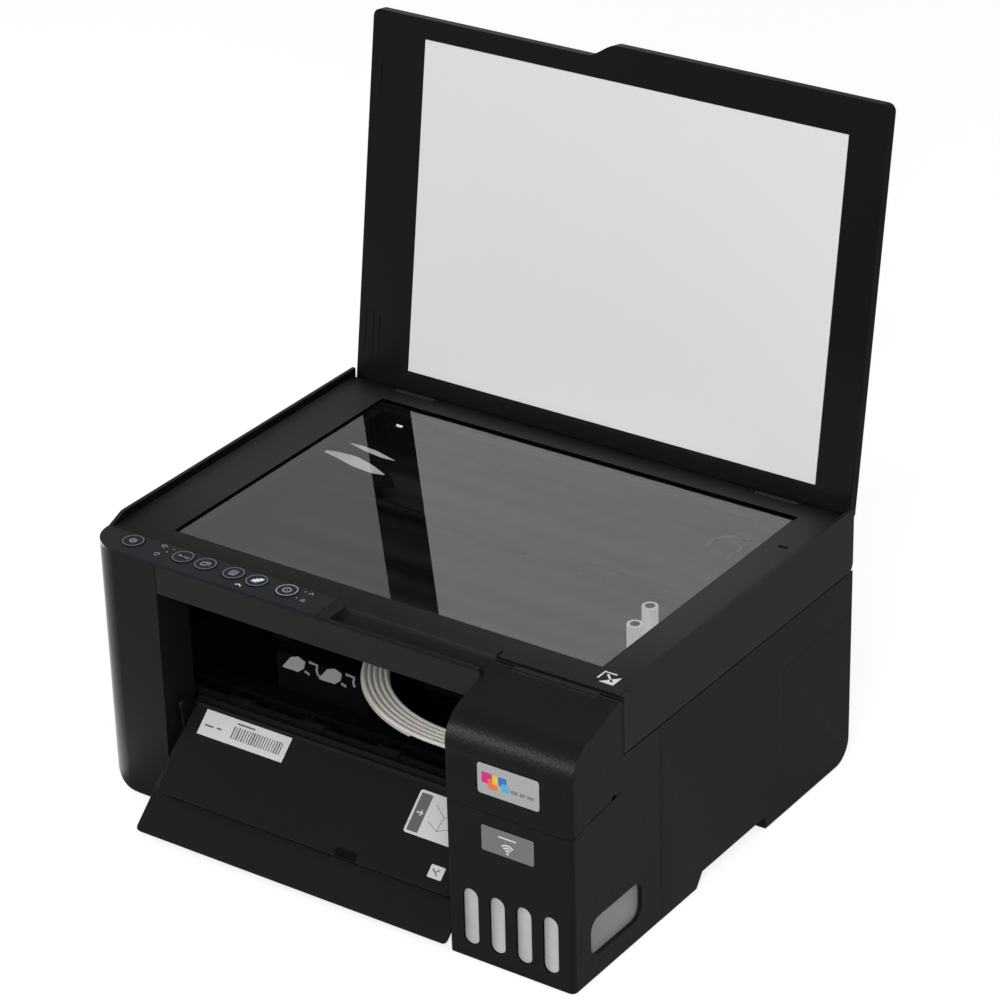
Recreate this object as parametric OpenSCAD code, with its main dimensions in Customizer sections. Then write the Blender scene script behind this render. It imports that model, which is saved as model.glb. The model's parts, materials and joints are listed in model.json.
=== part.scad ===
// Ink tank inkjet printer with a flatbed scanner on top.
// Origin: middle of the footprint, on the table. +X is the printer's right, seen from the front, +Y its back.
// Depths (names ending in _d) are measured from the tank unit's front face towards the back.

/* [Overall] */
// Width over the side covers
body_w = 375; // [370:1:390]
// Depth from the tank unit's front face to the folded paper support
body_d = 347; // [342:1:360]
// Height with the lid closed
body_h = 179; // [174:1:186]
// Height of the rubber feet
foot_h = 2; // [1.8:0.1:2.4]
// Wall of the moulded covers
wall = 2.5; // [2:0.1:2.8]
// Clearance between pieces that are fitted together
fit = 0.2; // [0.1:0.05:0.3]
// Gap round a cover or tray that moves
gap = 0.5; // [0.4:0.1:0.7]
// Radial clearance of a pin in its bore
run = 0.05; // [0.02:0.01:0.09]

/* [Base] */
// Height of the scanner unit, from its seam with the base up to the deck
scan_h = 37.8; // [34:0.1:41]
// Length of the feeder section behind the side covers
hump_len = 38.6; // [35:0.1:44]
// Distance of the feeder section from the outer side of the side covers
hump_in = 29.5; // [26:0.5:37]
// Depth of the front fascia behind the tank unit's front
fascia_d = 37; // [32:0.5:40]
// Width of the pillar to the left of the front opening
pillar_w = 53.5; // [48:0.5:58]
// Radius of the pillar's front corner, in plan
pillar_r = 22; // [16:1:26]
// Depth of the side of the front opening
jamb_len = 29; // [24:1:33]
// Radius along the bottom of the left side
skirt_r = 28; // [20:1:29]
// Radius of the side covers' lower back corner
heel_r = 15; // [10:1:24]
// Length of the hand grip under the right side
grip_len = 80; // [60:1:84]
// Depth over which the hand grip's front end slopes
grip_slope = 8; // [4:1:12]
// Depth at which the hand grip starts
grip_d = 129; // [120:1:140]
// Height of the hand grip's roof
grip_z = 10.8; // [9:0.1:12]
// Depth at which the corner panel starts
corner_d = 228; // [220:1:240]
// Height of the corner panel's top edge
corner_z = 104.6; // [95:0.1:112]
// Height of the top of the paper floor behind the front opening
floor_z = 14; // [13:0.5:16]

/* [Tank unit] */
// Width of the tank unit
tank_w = 85.7; // [82:0.1:90]
// Height of the tank cover's lower edge at the front
hood_z = 104.5; // [100:0.1:108]
// Depth of the tank cover
hood_len = 51.5; // [49:0.1:52]
// Drop from the deck to the top of the tank cover
hood_drop = 1.1; // [0.7:0.1:3.5]
// Depth of the tank unit's side below the cover
tank_side_d = 91.5; // [88:0.5:95]
// Distance between two ink tanks
tank_pitch = 18.3; // [18:0.1:18.6]
// Width of an ink tank
tank_t = 17.6; // [16:0.1:17.7]
// Length of an ink tank
tank_len = 78; // [70:1:82]
// Height of an ink tank
tank_h = 84; // [76:1:86]
// Width of a front window
win_w = 10.8; // [9:0.1:12]
// Height of a front window's lower end
win_z = 11; // [9:0.5:14]
// Height of a front window
win_h = 38.3; // [34:0.1:42]
// Length of the side window
side_win_len = 53; // [44:1:58]
// Height of the side window
side_win_h = 25.6; // [20:0.1:30]

/* [Scanner unit] */
// Depth over which the rims beside the lid rise behind the panel
rim_run = 12; // [6:1:20]
// Height of the shadow line between the scanner unit and the base
shadow_h = 0.7; // [0.4:0.1:1]
// Drop from the closed lid's top to the rims beside it
rim_drop = 2.7; // [2:0.1:4]
// Thickness of the lid
lid_t = 7; // [6:0.1:8]
// Gap under the closed lid
lid_gap = 0.5; // [0.4:0.1:0.8]
// Depth of the seam between the control panel and the deck
panel_d = 60; // [58:0.5:63]
// Height of the fascia, from the deck down to its lower edge
fascia_h = 21; // [18:0.5:24]
// Width of the glass that shows
glass_w = 305.4; // [298:0.1:312]
// Border behind the glass, up to the end of the side covers
glass_rim = 24.3; // [17:0.1:28]
// Depth at which the glass starts
glass_d = 75.7; // [72:0.1:80]
// Offset of the glass and mat to the right
glass_x = 6.3; // [0:0.1:10]
// Thickness of the glass
glass_t = 3; // [2.5:0.1:4]
// Angle at which the lid stands open
lid_open = 98.3; // [90:0.1:102]

/* [Lid] */
// How far the lid's left part reaches over the control panel
lid_lap = 0.1; // [0:0.1:1.5]
// Extra length of the lid's right part
lid_tab = 9.4; // [7:0.1:10]
// Distance of the hinge axis from the back end of the side covers
lid_axis_in = 3; // [2.4:0.1:4.4]
// Height of the hinge axis below the lid's inner face
lid_axis_drop = 2.9; // [2.8:0.1:3.2]
// Width of the white mat
mat_w = 303; // [298:1:310]
// How far the white mat reaches past the glass at the front
mat_lap = 2.9; // [1:0.1:6]
// Thickness of the mat
mat_t = 4.5; // [3:0.1:5]

/* [Front cover] */
// Length of the front cover, closed from bottom to top
cover_h = 92; // [88:0.5:93]
// Length of its raised inner panel
cover_panel_h = 61.2; // [56:0.1:66]
// Depth of the raised inner panel
cover_panel_t = 5.5; // [5:0.1:6]
// Angle at which the cover stands open
cover_open = 132.3; // [126:0.1:133]

/* [Paper trays] */
// Distance between the output tray and the tank unit
tray_side = 11.8; // [10:0.1:18]
// Length of the output tray
tray_len = 200; // [180:1:210]
// Thickness of the output tray
tray_t = 3.4; // [3:0.1:3.4]
// Width of the paper that the feeder takes
paper_w = 210; // [200:1:216]
// Length of the paper support
support_len = 126; // [110:1:130]

/* [Hidden] */
$fn = 48;
EPS = 0.01;

// colours
BLACK = [0.11, 0.11, 0.12];
BLACK_TOP = [0.17, 0.17, 0.18];
PANEL_BLUE = [0.11, 0.12, 0.15];
GREY = [0.42, 0.43, 0.44];
PALE = [0.82, 0.82, 0.82];
TANK = [0.68, 0.68, 0.66];
STEEL = [0.62, 0.63, 0.65];
RUBBER = [0.06, 0.06, 0.06];
BOARD = [0.10, 0.30, 0.18];

// edges of the main volumes
half_w = body_w / 2;
base_z = foot_h;
open_x0 = -half_w + pillar_w;
tank_x0 = half_w - tank_w;
jamb_d = fascia_d + jamb_len;
case_x = half_w - hump_in;
side_d = body_d - hump_len;
lid_axis_d = side_d - lid_axis_in;
glass_len = side_d - glass_d - glass_rim;
deck_z = body_h - lid_t - lid_gap;
rim_z = body_h - rim_drop;
seam_z = deck_z - scan_h;
panel_t = 2.5;
pillar_z = deck_z - panel_t - fit;
fascia_z = deck_z - fascia_h;
hood_top = deck_z - hood_drop;

function yd(d) = d - body_d / 2;

// ---- shape helpers: 2D children are in (depth, z), (x, z) and (x, depth) ----

module box(x0, x1, d0, d1, z0, z1) {
    translate([x0, yd(d0), z0]) cube([x1 - x0, d1 - d0, z1 - z0]);
}

module along_x(x0, x1) {
    translate([x0, yd(0), 0]) rotate([90, 0, 90]) linear_extrude(x1 - x0) children();
}

module along_y(d0, d1) {
    translate([0, yd(d1), 0]) rotate([90, 0, 0]) linear_extrude(d1 - d0) children();
}

module along_z(z0, z1) {
    translate([0, yd(0), z0]) linear_extrude(z1 - z0) children();
}

module rod_x(x0, x1, d, z, r) {
    translate([x0, yd(d), z]) rotate([0, 90, 0]) cylinder(h = x1 - x0, r = r);
}

module rod_z(x, d, z0, z1, r) {
    translate([x, yd(d), z0]) cylinder(h = z1 - z0, r = r);
}

// rectangle from the origin with all corners rounded
module rounded(w, h, r) {
    translate([r, 0]) square([w - 2 * r, h]);
    translate([0, r]) square([w, h - 2 * r]);
    for (x = [r, w - r], y = [r, h - r]) translate([x, y]) circle(r);
}

// rectangle from the origin with only its first corner rounded
module one_round(w, h, r) {
    difference() {
        square([w, h]);
        difference() {
            square(r);
            translate([r, r]) circle(r);
        }
    }
}

// turns a closed piece about an axis along X by an opening angle, front edge up
module swing(d, z, angle) {
    translate([0, yd(d), z]) rotate([-angle, 0, 0]) translate([0, -yd(d), -z]) children();
}

// ---- base ----

// solid block of the left side: rounded in plan, in front view and in side view
module left_block(inset, x_end, top) {
    intersection() {
        translate([-half_w + inset, yd(fascia_d + inset), base_z])
            linear_extrude(top - base_z)
                one_round(x_end + half_w - inset, side_d - fascia_d - 2 * inset, pillar_r - inset);
        along_y(fascia_d, side_d)
            translate([-half_w + inset, base_z + inset])
                one_round(x_end + half_w - inset, top - base_z, skirt_r - inset);
        along_x(-half_w, x_end)
            translate([side_d - inset, base_z + inset])
                mirror([1, 0]) one_round(side_d - fascia_d, top - base_z, heel_r - inset);
    }
}

module left_cover() {
    color(BLACK) difference() {
        left_block(0, open_x0, pillar_z);
        left_block(wall, open_x0 - wall, pillar_z - wall);
        // the scanner unit's room behind the pillar
        box(-half_w - 1, open_x0 + 1, panel_d - fit, side_d + 1, seam_z, pillar_z + 1);
        // open side towards the inside of the base
        box(-case_x - fit, open_x0 + 1, jamb_d, side_d + 1, 0, pillar_z + 1);
        // bore of the front cover's hinge pin
        rod_x(open_x0 - wall - 1, open_x0 + 1, cover_axis_d, cover_axis_z, cover_pin_r + run);
    }
}

// outer form of the right side behind the tank unit
module right_block(inset) {
    x0 = case_x + fit;
    along_x(x0, half_w - inset)
        translate([side_d - inset, base_z + inset])
            mirror([1, 0]) one_round(side_d - tank_side_d - fit - inset, seam_z - base_z, heel_r - inset);
}

module right_shell() {
    difference() {
        right_block(0);
        difference() {
            right_block(wall);
            box(grip_x0 - wall, half_w, grip_d - wall, grip_d + grip_len + wall, 0, grip_z + wall);
        }
        box(case_x - 1, half_w + 1, tank_side_d - 1, side_d + 1, seam_z, seam_z + body_h);
        along_x(grip_x0, half_w + 1)
            polygon([[grip_d, 0], [grip_d + grip_slope, grip_z], [grip_d + grip_len, grip_z],
                     [grip_d + grip_len, 0]]);
        // open side towards the inside of the base
        box(case_x - 1, grip_x0 - wall, tank_side_d, side_d - wall, base_z + wall, seam_z + 1);
    }
}

// the part of the right shell that the corner panel takes up
module corner_zone(clear) {
    box(case_x - 1, half_w + 1, corner_d + clear, side_d + 1, corner_z0 + clear, corner_z - clear);
}

corner_z0 = 5;
grip_x0 = case_x + 10;

module right_cover() {
    color(BLACK) difference() {
        right_shell();
        corner_zone(0);
    }
}

module corner_panel() {
    color(BLACK) intersection() {
        right_shell();
        corner_zone(fit);
    }
}

rear_wall_d = body_d - 3.5;
hump_z0 = 12;
hump_top = seam_z - 3.7;

module rear_cover() {
    lip = 9;
    color(BLACK) difference() {
        union() {
            along_y(side_d - lip, rear_wall_d)
                translate([-case_x, hump_z0]) rounded(2 * case_x, hump_top - hump_z0, 6);
            support_rails(support_z + 6, hump_top);
            // ears of the scanner unit's hinge
            for (s = [-1, 1]) along_x(s * ear_x - ear_t / 2, s * ear_x + ear_t / 2) {
                translate([scan_axis_d - 5, hump_top - 8]) square([10, scan_axis_z - hump_top + 8]);
                translate([scan_axis_d, scan_axis_z]) circle(5);
            }
        }
        along_y(side_d - lip - 1, rear_wall_d - wall)
            translate([-case_x + wall, hump_z0 + wall])
                rounded(2 * (case_x - wall), hump_top - hump_z0 - 2 * wall, 4);
        // paper path through the roof
        box(-feed_w / 2, feed_w / 2, feeder_d0 + wall, feeder_d1 - wall, hump_top - wall - 1, hump_top + 1);
        for (s = [-1, 1])
            rod_x(s * ear_x - ear_t, s * ear_x + ear_t, scan_axis_d, scan_axis_z, scan_pin_r + run);
        // openings for the mains inlet and the data socket
        box(inlet_x, inlet_x + inlet_w, rear_wall_d - wall - 1, rear_wall_d + 1, inlet_z,
            inlet_z + inlet_h);
        box(usb_x, usb_x + usb_w, rear_wall_d - wall - 1, rear_wall_d + 1, usb_z, usb_z + usb_h);
    }
}

tray_z = base_z - 0.5;
tray_top = tray_z + tray_t;
tray_x0 = open_x0 + 22;
tray_x1 = tank_x0 - tray_side;
tray_w = tray_x1 - tray_x0;
tongue_w = 5;
tongue_t = 1.2;
pan_d0 = fascia_d + 13;

// cross section of the floor in (x, z): flat, with a raised tunnel over the tray
module pan_section() {
    clear = 0.4;
    difference() {
        union() {
            translate([-case_x, base_z]) square([2 * case_x, wall]);
            translate([tray_x0 - wall - clear, base_z])
                square([tray_w + 2 * (wall + clear), tunnel_top - base_z]);
        }
        translate([tray_x0 + tongue_w - clear, base_z - 1])
            square([tray_w - 2 * (tongue_w - clear), tray_top + 0.3 - base_z + 1]);
        translate([tray_x0 - clear, tray_z + tongue_t - clear / 2])
            square([tray_w + 2 * clear, tray_t - tongue_t + 0.5]);
    }
}

tunnel_top = tray_top + 0.3 + 2.3;

module base_pan() {
    tray_end = pan_d0 - 10 + tray_len + 6;
    color(BLACK) difference() {
        union() {
            along_y(pan_d0, tray_end) pan_section();
            box(-case_x, case_x, tray_end, side_d - wall - fit, base_z, base_z + wall);
            box(tray_x0 - wall, tray_x1 + wall, tray_end, tray_end + wall, base_z, tunnel_top);
        }
        box(tank_x0 - fit, case_x + 1, pan_d0 - 1, tank_side_d + fit, 0, tunnel_top + 1);
        box(-case_x - 1, open_x0 + fit, pan_d0 - 1, jamb_d + fit, 0, tunnel_top + 1);
    }
}

sill_len = 60;

module front_sill() {
    x0 = open_x0 + fit;
    x1 = tank_x0 - fit;
    under = tray_top + 0.3;
    rib_t = 2;
    color(BLACK) {
        box(x0, x1, fascia_d, fascia_d + wall, under, floor_z);
        box(x0, x1, fascia_d + wall, fascia_d + sill_len, floor_z - wall, floor_z);
        for (i = [0:5]) {
            x = x0 + 20 + i * (x1 - x0 - 40) / 5;
            box(x - rib_t / 2, x + rib_t / 2, pan_d0 + 1, fascia_d + sill_len, tunnel_top, floor_z - wall);
        }
    }
}

foot_r = 9;

module feet() {
    back_d = side_d - 24.4;
    back_x = case_x - 22;
    places = [[-half_w + 39.5, pan_d0 + 4], [half_w - 45.5, 20], [-back_x, back_d], [back_x, back_d]];
    color(RUBBER) for (p = places) rod_z(p[0], p[1], 0, base_z, foot_r);
}

module case_screws() {
    head_t = 1.2;
    inset = 14;
    color(STEEL) for (x = [10 - case_x, case_x - 10], z = [hump_z0 + inset, hump_top - inset])
        translate([x, yd(rear_wall_d), z]) rotate([-90, 0, 0]) difference() {
            cylinder(h = head_t, r = 3.2);
            for (a = [0, 90]) rotate([0, 0, a]) translate([-2.2, -0.4, head_t - 0.6]) cube([4.4, 0.8, 1]);
        }
}

// ---- tank unit ----

tank_x1 = tank_x0 + (tank_w - 3 * tank_pitch - 0.5) / 2;
tank_floor_z = base_z + wall;
tank_z0 = tank_floor_z + fit;
tank_d0 = wall + 0.8;
neck_d = 26;
neck_r = 6;
deck_plate_z = tank_z0 + tank_h + 3;
side_win_d = 18;
side_win_z = 16;
side_win_r = 8;
hood_r = 2;
hood_axis_d = hood_len - hood_r;
hood_axis_z = hood_top - hood_r;
hood_pin_r = 1;
hood_x0 = tank_x0 + 13.5;
hood_x1 = half_w - 13.5;
tower_d = hood_len + 0.3;
tower_t = 1.5;

// slanting lower edge of the tank cover in (depth, z), taken down by a drop
function hood_edge(drop) = [
    [0, hood_z - drop], [12.5, hood_z + 2.9 - drop],
    [42.7, hood_z + 5.9 - drop], [hood_len, hood_z + 6.9 - drop],
];

module tank_housing() {
    color(BLACK) difference() {
        union() {
            // lower box with its slanting top edge, and the higher part behind the cover
            along_x(tank_x0, half_w)
                polygon(concat([[0, base_z]], hood_edge(gap / 2),
                    [[hood_len, seam_z], [tank_side_d, seam_z], [tank_side_d, base_z]]));
            tower();
        }
        // rounded front corners
        translate([half_w, yd(0), 0]) corner_cut(3.5);
        translate([tank_x0, yd(0), 0]) mirror([1, 0, 0]) corner_cut(2);
        // inside
        box(tank_x0 + wall, half_w - wall, wall, tank_side_d - wall, tank_floor_z, deck_plate_z);
        along_x(tank_x0 + wall, half_w - wall)
            polygon([[wall, deck_plate_z + wall], [wall, seam_z + 1], [tower_d, seam_z + 1],
                [tower_d, deck_plate_z + wall]]);
        box(tank_x0 + wall, half_w - wall, tower_d + tower_t, tank_side_d - wall, deck_plate_z + wall,
            body_h);
        // bores of the tank cover's pins
        rod_x(hood_x0, hood_x0 + 4, hood_axis_d, hood_axis_z, hood_pin_r + run);
        rod_x(hood_x1 - 4, hood_x1, hood_axis_d, hood_axis_z, hood_pin_r + run);
        // front windows
        for (i = [0:3])
            along_y(-1, wall + 1)
                translate([tank_x1 + i * tank_pitch - win_w / 2, win_z])
                    rounded(win_w, win_h, win_w / 2 - EPS);
        // side window
        along_x(half_w - wall - 1, half_w + 1)
            translate([side_win_d, side_win_z]) rounded(side_win_len, side_win_h, side_win_r);
        // necks of the tanks
        for (i = [0:3])
            rod_z(tank_x1 + i * tank_pitch, neck_d, deck_plate_z - 1, deck_plate_z + wall + 1,
                neck_r + fit);
        // bore of the front cover's hinge pin
        rod_x(tank_x0 - 1, tank_x0 + wall + 1, cover_axis_d, cover_axis_z, cover_pin_r + run);
    }
}

// wall behind the tank cover with the middle knuckle of its hinge
module tower() {
    box(tank_x0, half_w, tower_d, tower_d + tower_t, seam_z - 1, hood_top);
    rod_x(hood_x0 + 0.3, hood_x1 - 0.3, hood_axis_d, hood_axis_z, hood_r);
    box(hood_x0 + 0.3, hood_x1 - 0.3, hood_axis_d, tower_d + 0.5, hood_axis_z - hood_r, hood_top);
}

// removes the square corner outside a vertical rounded edge at the origin, towards -X and +Y
module corner_cut(r) {
    translate([-r, 0, -1]) difference() {
        translate([0, -1, 0]) cube([r + 1, r + 1, body_h + 2]);
        translate([0, r, -1]) cylinder(h = body_h + 4, r = r);
    }
}

module ink_tank(i) {
    x = tank_x1 + i * tank_pitch;
    nose = 0.4;
    color(TANK) difference() {
        union() {
            along_z(tank_z0, tank_z0 + tank_h)
                translate([x - tank_t / 2, tank_d0]) rounded(tank_t, tank_len, 2);
            // nose in the front window
            along_y(1.2, tank_d0 + 1)
                translate([x - win_w / 2 + nose, win_z + nose])
                    rounded(win_w - 2 * nose, win_h - 2 * nose, win_w / 2 - nose - EPS);
            rod_z(x, neck_d, tank_z0 + tank_h - 1, deck_plate_z + wall + 4, neck_r);
        }
        box(x - tank_t / 2 + 1.2, x + tank_t / 2 - 1.2, tank_d0 + 1.2, tank_d0 + tank_len - 1.2,
            tank_z0 + 1.2, tank_z0 + tank_h - 1.2);
        rod_z(x, neck_d, tank_z0 + tank_h - 2, deck_plate_z + wall + 5, neck_r - 1.5);
    }
}

module ink_tank_1() {
    ink_tank(0);
}

module ink_tank_2() {
    ink_tank(1);
}

module ink_tank_3() {
    ink_tank(2);
}

module ink_tank_4() {
    lap = 1;
    x = tank_x1 + 3 * tank_pitch + tank_t / 2;
    ink_tank(3);
    // boss behind the side window, up to the inside of the wall
    color(TANK) along_x(x - 0.6, half_w - wall - 0.9)
        translate([side_win_d - lap, side_win_z - lap])
            rounded(side_win_len + 2 * lap, side_win_h + 2 * lap, side_win_r + lap);
}

module ink_caps() {
    shades = [[0.12, 0.12, 0.13], [0.1, 0.55, 0.75], [0.75, 0.15, 0.4], [0.9, 0.8, 0.15]];
    z0 = deck_plate_z + wall + 4;
    for (i = [0:3]) color(shades[i]) {
        rod_z(tank_x1 + i * tank_pitch, neck_d, z0, z0 + 5, neck_r + 1.8);
        rod_z(tank_x1 + i * tank_pitch, neck_d, z0 + 5, z0 + 8, neck_r - 0.5);
    }
}

badge_w = 41.6;
badge_h = 19.8;
badge_x = tank_x0 + 23;
badge_z = hood_z + 12.9;
plate_w = 35.6;
plate_h = 16.7;
plate_x = tank_x0 + 24.6;
plate_z = hood_z - 24.7;
plate_t = 0.6;

module tank_badge() {
    color(PALE) along_y(-plate_t, 0) translate([badge_x, badge_z]) rounded(badge_w, badge_h, 2);
}

module type_plate() {
    color(GREY) along_y(-plate_t, 0) translate([plate_x, plate_z]) rounded(plate_w, plate_h, 1.2);
}

hood_front_z = hood_z + 31.5;
hood_nose_d = 22;
hood_nose_z = hood_top - 9;
hood_t = 2.2;

// curved front and top of the tank cover's side in (depth, z), set in by its skin's thickness
function hood_curve(inset) = [for (a = [0:10:90])
    [hood_nose_d - (hood_nose_d - inset) * cos(a),
        hood_front_z + (hood_nose_z - hood_front_z - inset) * sin(a)]];

module tank_cover() {
    t = hood_t;
    low = gap / 2;
    color(BLACK) difference() {
        union() {
            along_x(tank_x0, half_w) {
                polygon(concat([[0, hood_z + low]], hood_curve(0),
                    [[hood_axis_d, hood_top], [hood_len, hood_axis_z], [hood_len, hood_z + 6.9 + low],
                    [42.7, hood_z + 5.9 + low], [12.5, hood_z + 2.9 + low]]));
                translate([hood_axis_d, hood_axis_z]) circle(hood_r);
            }
        }
        along_x(tank_x0 + t, half_w - t)
            polygon(concat([[t, hood_z - 5]], hood_curve(t), [[hood_axis_d - 3, hood_top - t - 0.9],
                [hood_axis_d - 3, hood_axis_z - 6], [hood_len + 1, hood_axis_z - 6],
                    [hood_len + 1, hood_z - 5]]));
        // the ends keep their knuckles, the middle makes room for the fixed one
        box(tank_x0 + t, half_w - t, hood_axis_d - hood_r - 0.3, hood_len + 1, hood_z,
            hood_axis_z - hood_r);
        box(hood_x0, hood_x1, hood_axis_d - hood_r - 0.3, hood_len + 1, hood_z, body_h);
        box(tank_x0 + t, half_w - t, hood_axis_d - hood_r, hood_len + 1, hood_axis_z - hood_r - 8,
            hood_axis_z - hood_r);
        translate([half_w, yd(0), 0]) corner_cut(3.5);
        translate([tank_x0, yd(0), 0]) mirror([1, 0, 0]) corner_cut(2);
        // notch at the lower back corner of the right side
        rod_x(half_w - t - 1, half_w + 1, 42.7, hood_z + 5.9, 2.6);
    }
    // stub pins in the fixed knuckle
    color(BLACK) for (x = [hood_x0 - 1, hood_x1 - 3.5])
        rod_x(x, x + 4.5, hood_axis_d, hood_axis_z, hood_pin_r);
}

// ---- print mechanism ----

frame_d = 192;
rail_d = frame_d - 30;
rail_z = 86;
rail_r = 4;
carr_w = 68;
carr_x = open_x0 + 44;
carr_d0 = 93;
carr_d1 = rail_d - 11;
carr_z0 = 65;
carr_z1 = 98;
paper_z = 62;
frame_x0 = open_x0 - 16;
frame_x1 = half_w - 11.5;
plate_end_x = tank_x0 - 4.8;
feed_roll_d = frame_d - 28;
feed_roll_z = paper_z - 6;
exit_roll_d = 84;
exit_roll_z = paper_z - 5;
roll_pin_r = 3;
feed_roll_r = 6;
exit_roll_r = 5;
exit_wheel_r = 8;
feed_wheel_r = exit_wheel_r * feed_roll_r / exit_roll_r;

module carriage_frame() {
    t = 1.6;
    floor = base_z + wall + fit;
    color(STEEL) {
        difference() {
            union() {
                box(frame_x0, frame_x1, frame_d, frame_d + t, tunnel_top + fit, hump_top - 4);
                box(frame_x0, frame_x0 + t, exit_roll_d - 9, frame_d + t, floor, 100);
                box(frame_x1 - t, frame_x1, tank_side_d + 4, frame_d + t, grip_z + wall + 0.5, 100);
                // arm that carries the clip of the ink tubes
                box(tube_x - 20, tube_x + 4, tube_end_d + 14, frame_d + 1, tube_z + 2.4, tube_z + 4);
            }
            for (i = [0:2])
                box(frame_x0 + 40 + i * 80, frame_x0 + 90 + i * 80, frame_d - 1, frame_d + t + 1, 30, 46);
            // notch round the hand grip
            box(grip_x0 - wall - 1, frame_x1 + 1, frame_d - 1, frame_d + t + 1, 0, grip_z + wall + 0.5);
            rod_x(frame_x0 - 1, frame_x1 + 1, rail_d, rail_z, rail_r + run);
            rod_x(frame_x0 - 1, frame_x1 + 1, feed_roll_d, feed_roll_z, roll_pin_r + run);
            rod_x(frame_x0 - 1, frame_x0 + t + 1, exit_roll_d, exit_roll_z, roll_pin_r + run);
        }
        // right bearing of the exit roller
        difference() {
            box(plate_end_x, plate_end_x + t, exit_roll_d - 9, exit_roll_d + 7, floor_z + fit,
                exit_roll_z + 9);
            rod_x(plate_end_x - 1, plate_end_x + t + 1, exit_roll_d, exit_roll_z, roll_pin_r + run);
        }
        // clip of the ink tubes
        box(tube_x - 20, tube_x + 4, tube_end_d, tube_end_d + 15, tube_z - 3.4, tube_z - 1.8);
        box(tube_x - 20, tube_x + 4, tube_end_d + 13.4, tube_end_d + 15, tube_z - 3.4, tube_z + 4);
    }
}

module carriage_rail() {
    color(STEEL) rod_x(frame_x0 - 3, frame_x1 + 3, rail_d, rail_z, rail_r);
}

belt_d = frame_d - 10;
belt_z = 84;
belt_r = 6;

module timing_belt() {
    x0 = frame_x0 + 22;
    x1 = frame_x1 - 22;
    color(RUBBER) along_z(belt_z, belt_z + 5) difference() {
        belt_loop(x0, x1, belt_r);
        belt_loop(x0, x1, belt_r - 1);
    }
    // belt between the wheels of the two rollers
    color(RUBBER) along_x(frame_x0 - 6.5, frame_x0 - 3.5) difference() {
        wheel_loop(1.2);
        wheel_loop(0.2);
    }
}

// outline in (depth, z) round both roller wheels, a distance outside them
module wheel_loop(out) {
    a = [feed_roll_d, feed_roll_z];
    b = [exit_roll_d, exit_roll_z];
    ra = feed_wheel_r + out;
    rb = exit_wheel_r + out;
    turn = atan2(b[1] - a[1], b[0] - a[0]);
    lean = acos((ra - rb) / norm(b - a));
    translate(a) circle(ra);
    translate(b) circle(rb);
    up = [cos(turn + lean), sin(turn + lean)];
    down = [cos(turn - lean), sin(turn - lean)];
    low = 0.04;
    polygon([a + (ra - low) * up, b + (rb - low) * up, b + (rb - low) * down, a + (ra - low) * down]);
}

module belt_loop(x0, x1, r) {
    translate([x0 - r, belt_d - r]) rounded(x1 - x0 + 2 * r, 2 * r, r - 0.05);
}

module carriage_motor() {
    x0 = frame_x0 + 22;
    x1 = frame_x1 - 22;
    color(STEEL) {
        rod_z(x0, belt_d, belt_z - 0.5, belt_z + 5.5, belt_r - 1 - 0.2);
        rod_z(x0, belt_d, belt_z - 10, belt_z - 0.5, 3);
        box(x0 - 9, x0 + 9, belt_d - 9, frame_d - fit, belt_z - 34, belt_z - 10);
        rod_z(x1, belt_d, belt_z - 0.5, belt_z + 5.5, belt_r - 1 - 0.2);
        box(x1 - 8, x1 + 8, belt_d - 4, frame_d - fit, belt_z - 4, belt_z - 0.5);
    }
}

module print_carriage() {
    color(BLACK) difference() {
        union() {
            box(carr_x, carr_x + carr_w, carr_d0, carr_d1, carr_z0, carr_z1);
            box(carr_x + 8, carr_x + carr_w - 8, carr_d1 - 1, rail_d + 7, rail_z - 7, rail_z + 7);
            // clamp on the belt's front run
            box(carr_x + 25, carr_x + 45, rail_d + 6, belt_d - belt_r - 0.2, belt_z - 3, belt_z + 7);
        }
        box(carr_x + 2, carr_x + carr_w - 2, carr_d0 + 2, carr_d1 - 3, carr_z0 + 2, carr_z1 - 2);
        rod_x(carr_x, carr_x + carr_w, rail_d, rail_z, rail_r + run);
    }
}

module carriage_latches() {
    color(PALE) for (x = [carr_x + 10, carr_x + 37]) {
        box(x, x + 22, carr_d0 - 1.2, carr_d0, carr_z1 - 8, carr_z1 + 1);
        box(x, x + 22, carr_d0 - EPS, carr_d0 + 9, carr_z1, carr_z1 + 1);
    }
}

module print_head() {
    color(STEEL) box(carr_x + 12, carr_x + carr_w - 12, carr_d0 + 8, carr_d1 - 8, carr_z0 - 1.5, carr_z0);
}

tube_z = 104;
tube_r = 1.5;
tube_pitch = 3.4;
tube_bend = 100;
tube_cx = tank_x0 - 41.8;
tube_end_d = 148;
tube_x = tube_cx - tube_bend + 18;

// five tubes side by side: straight out of the tank unit, then a quarter turn towards the back
module ink_tubes() {
    end = 13;
    color(PALE) for (i = [0:4]) {
        r = tube_bend - i * tube_pitch;
        rod_x(tube_cx, tank_x0, tube_end_d - r, tube_z, tube_r);
        translate([tube_cx, yd(tube_end_d), tube_z]) rotate([0, 0, 180]) rotate_extrude(angle = 90)
            translate([r, 0]) circle(tube_r, $fn = 24);
        translate([tube_cx - r, yd(tube_end_d + end), tube_z])
            rotate([90, 0, 0]) cylinder(h = end, r = tube_r);
    }
    // strip that keeps the bend in shape
    color(RUBBER) translate([tube_cx, yd(tube_end_d), tube_z - 2.4])
        rotate([0, 0, 180]) rotate_extrude(angle = 80)
        translate([tube_bend - 4 * tube_pitch - 2, 0]) square([4 * tube_pitch + 4, 0.8]);
}

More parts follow.
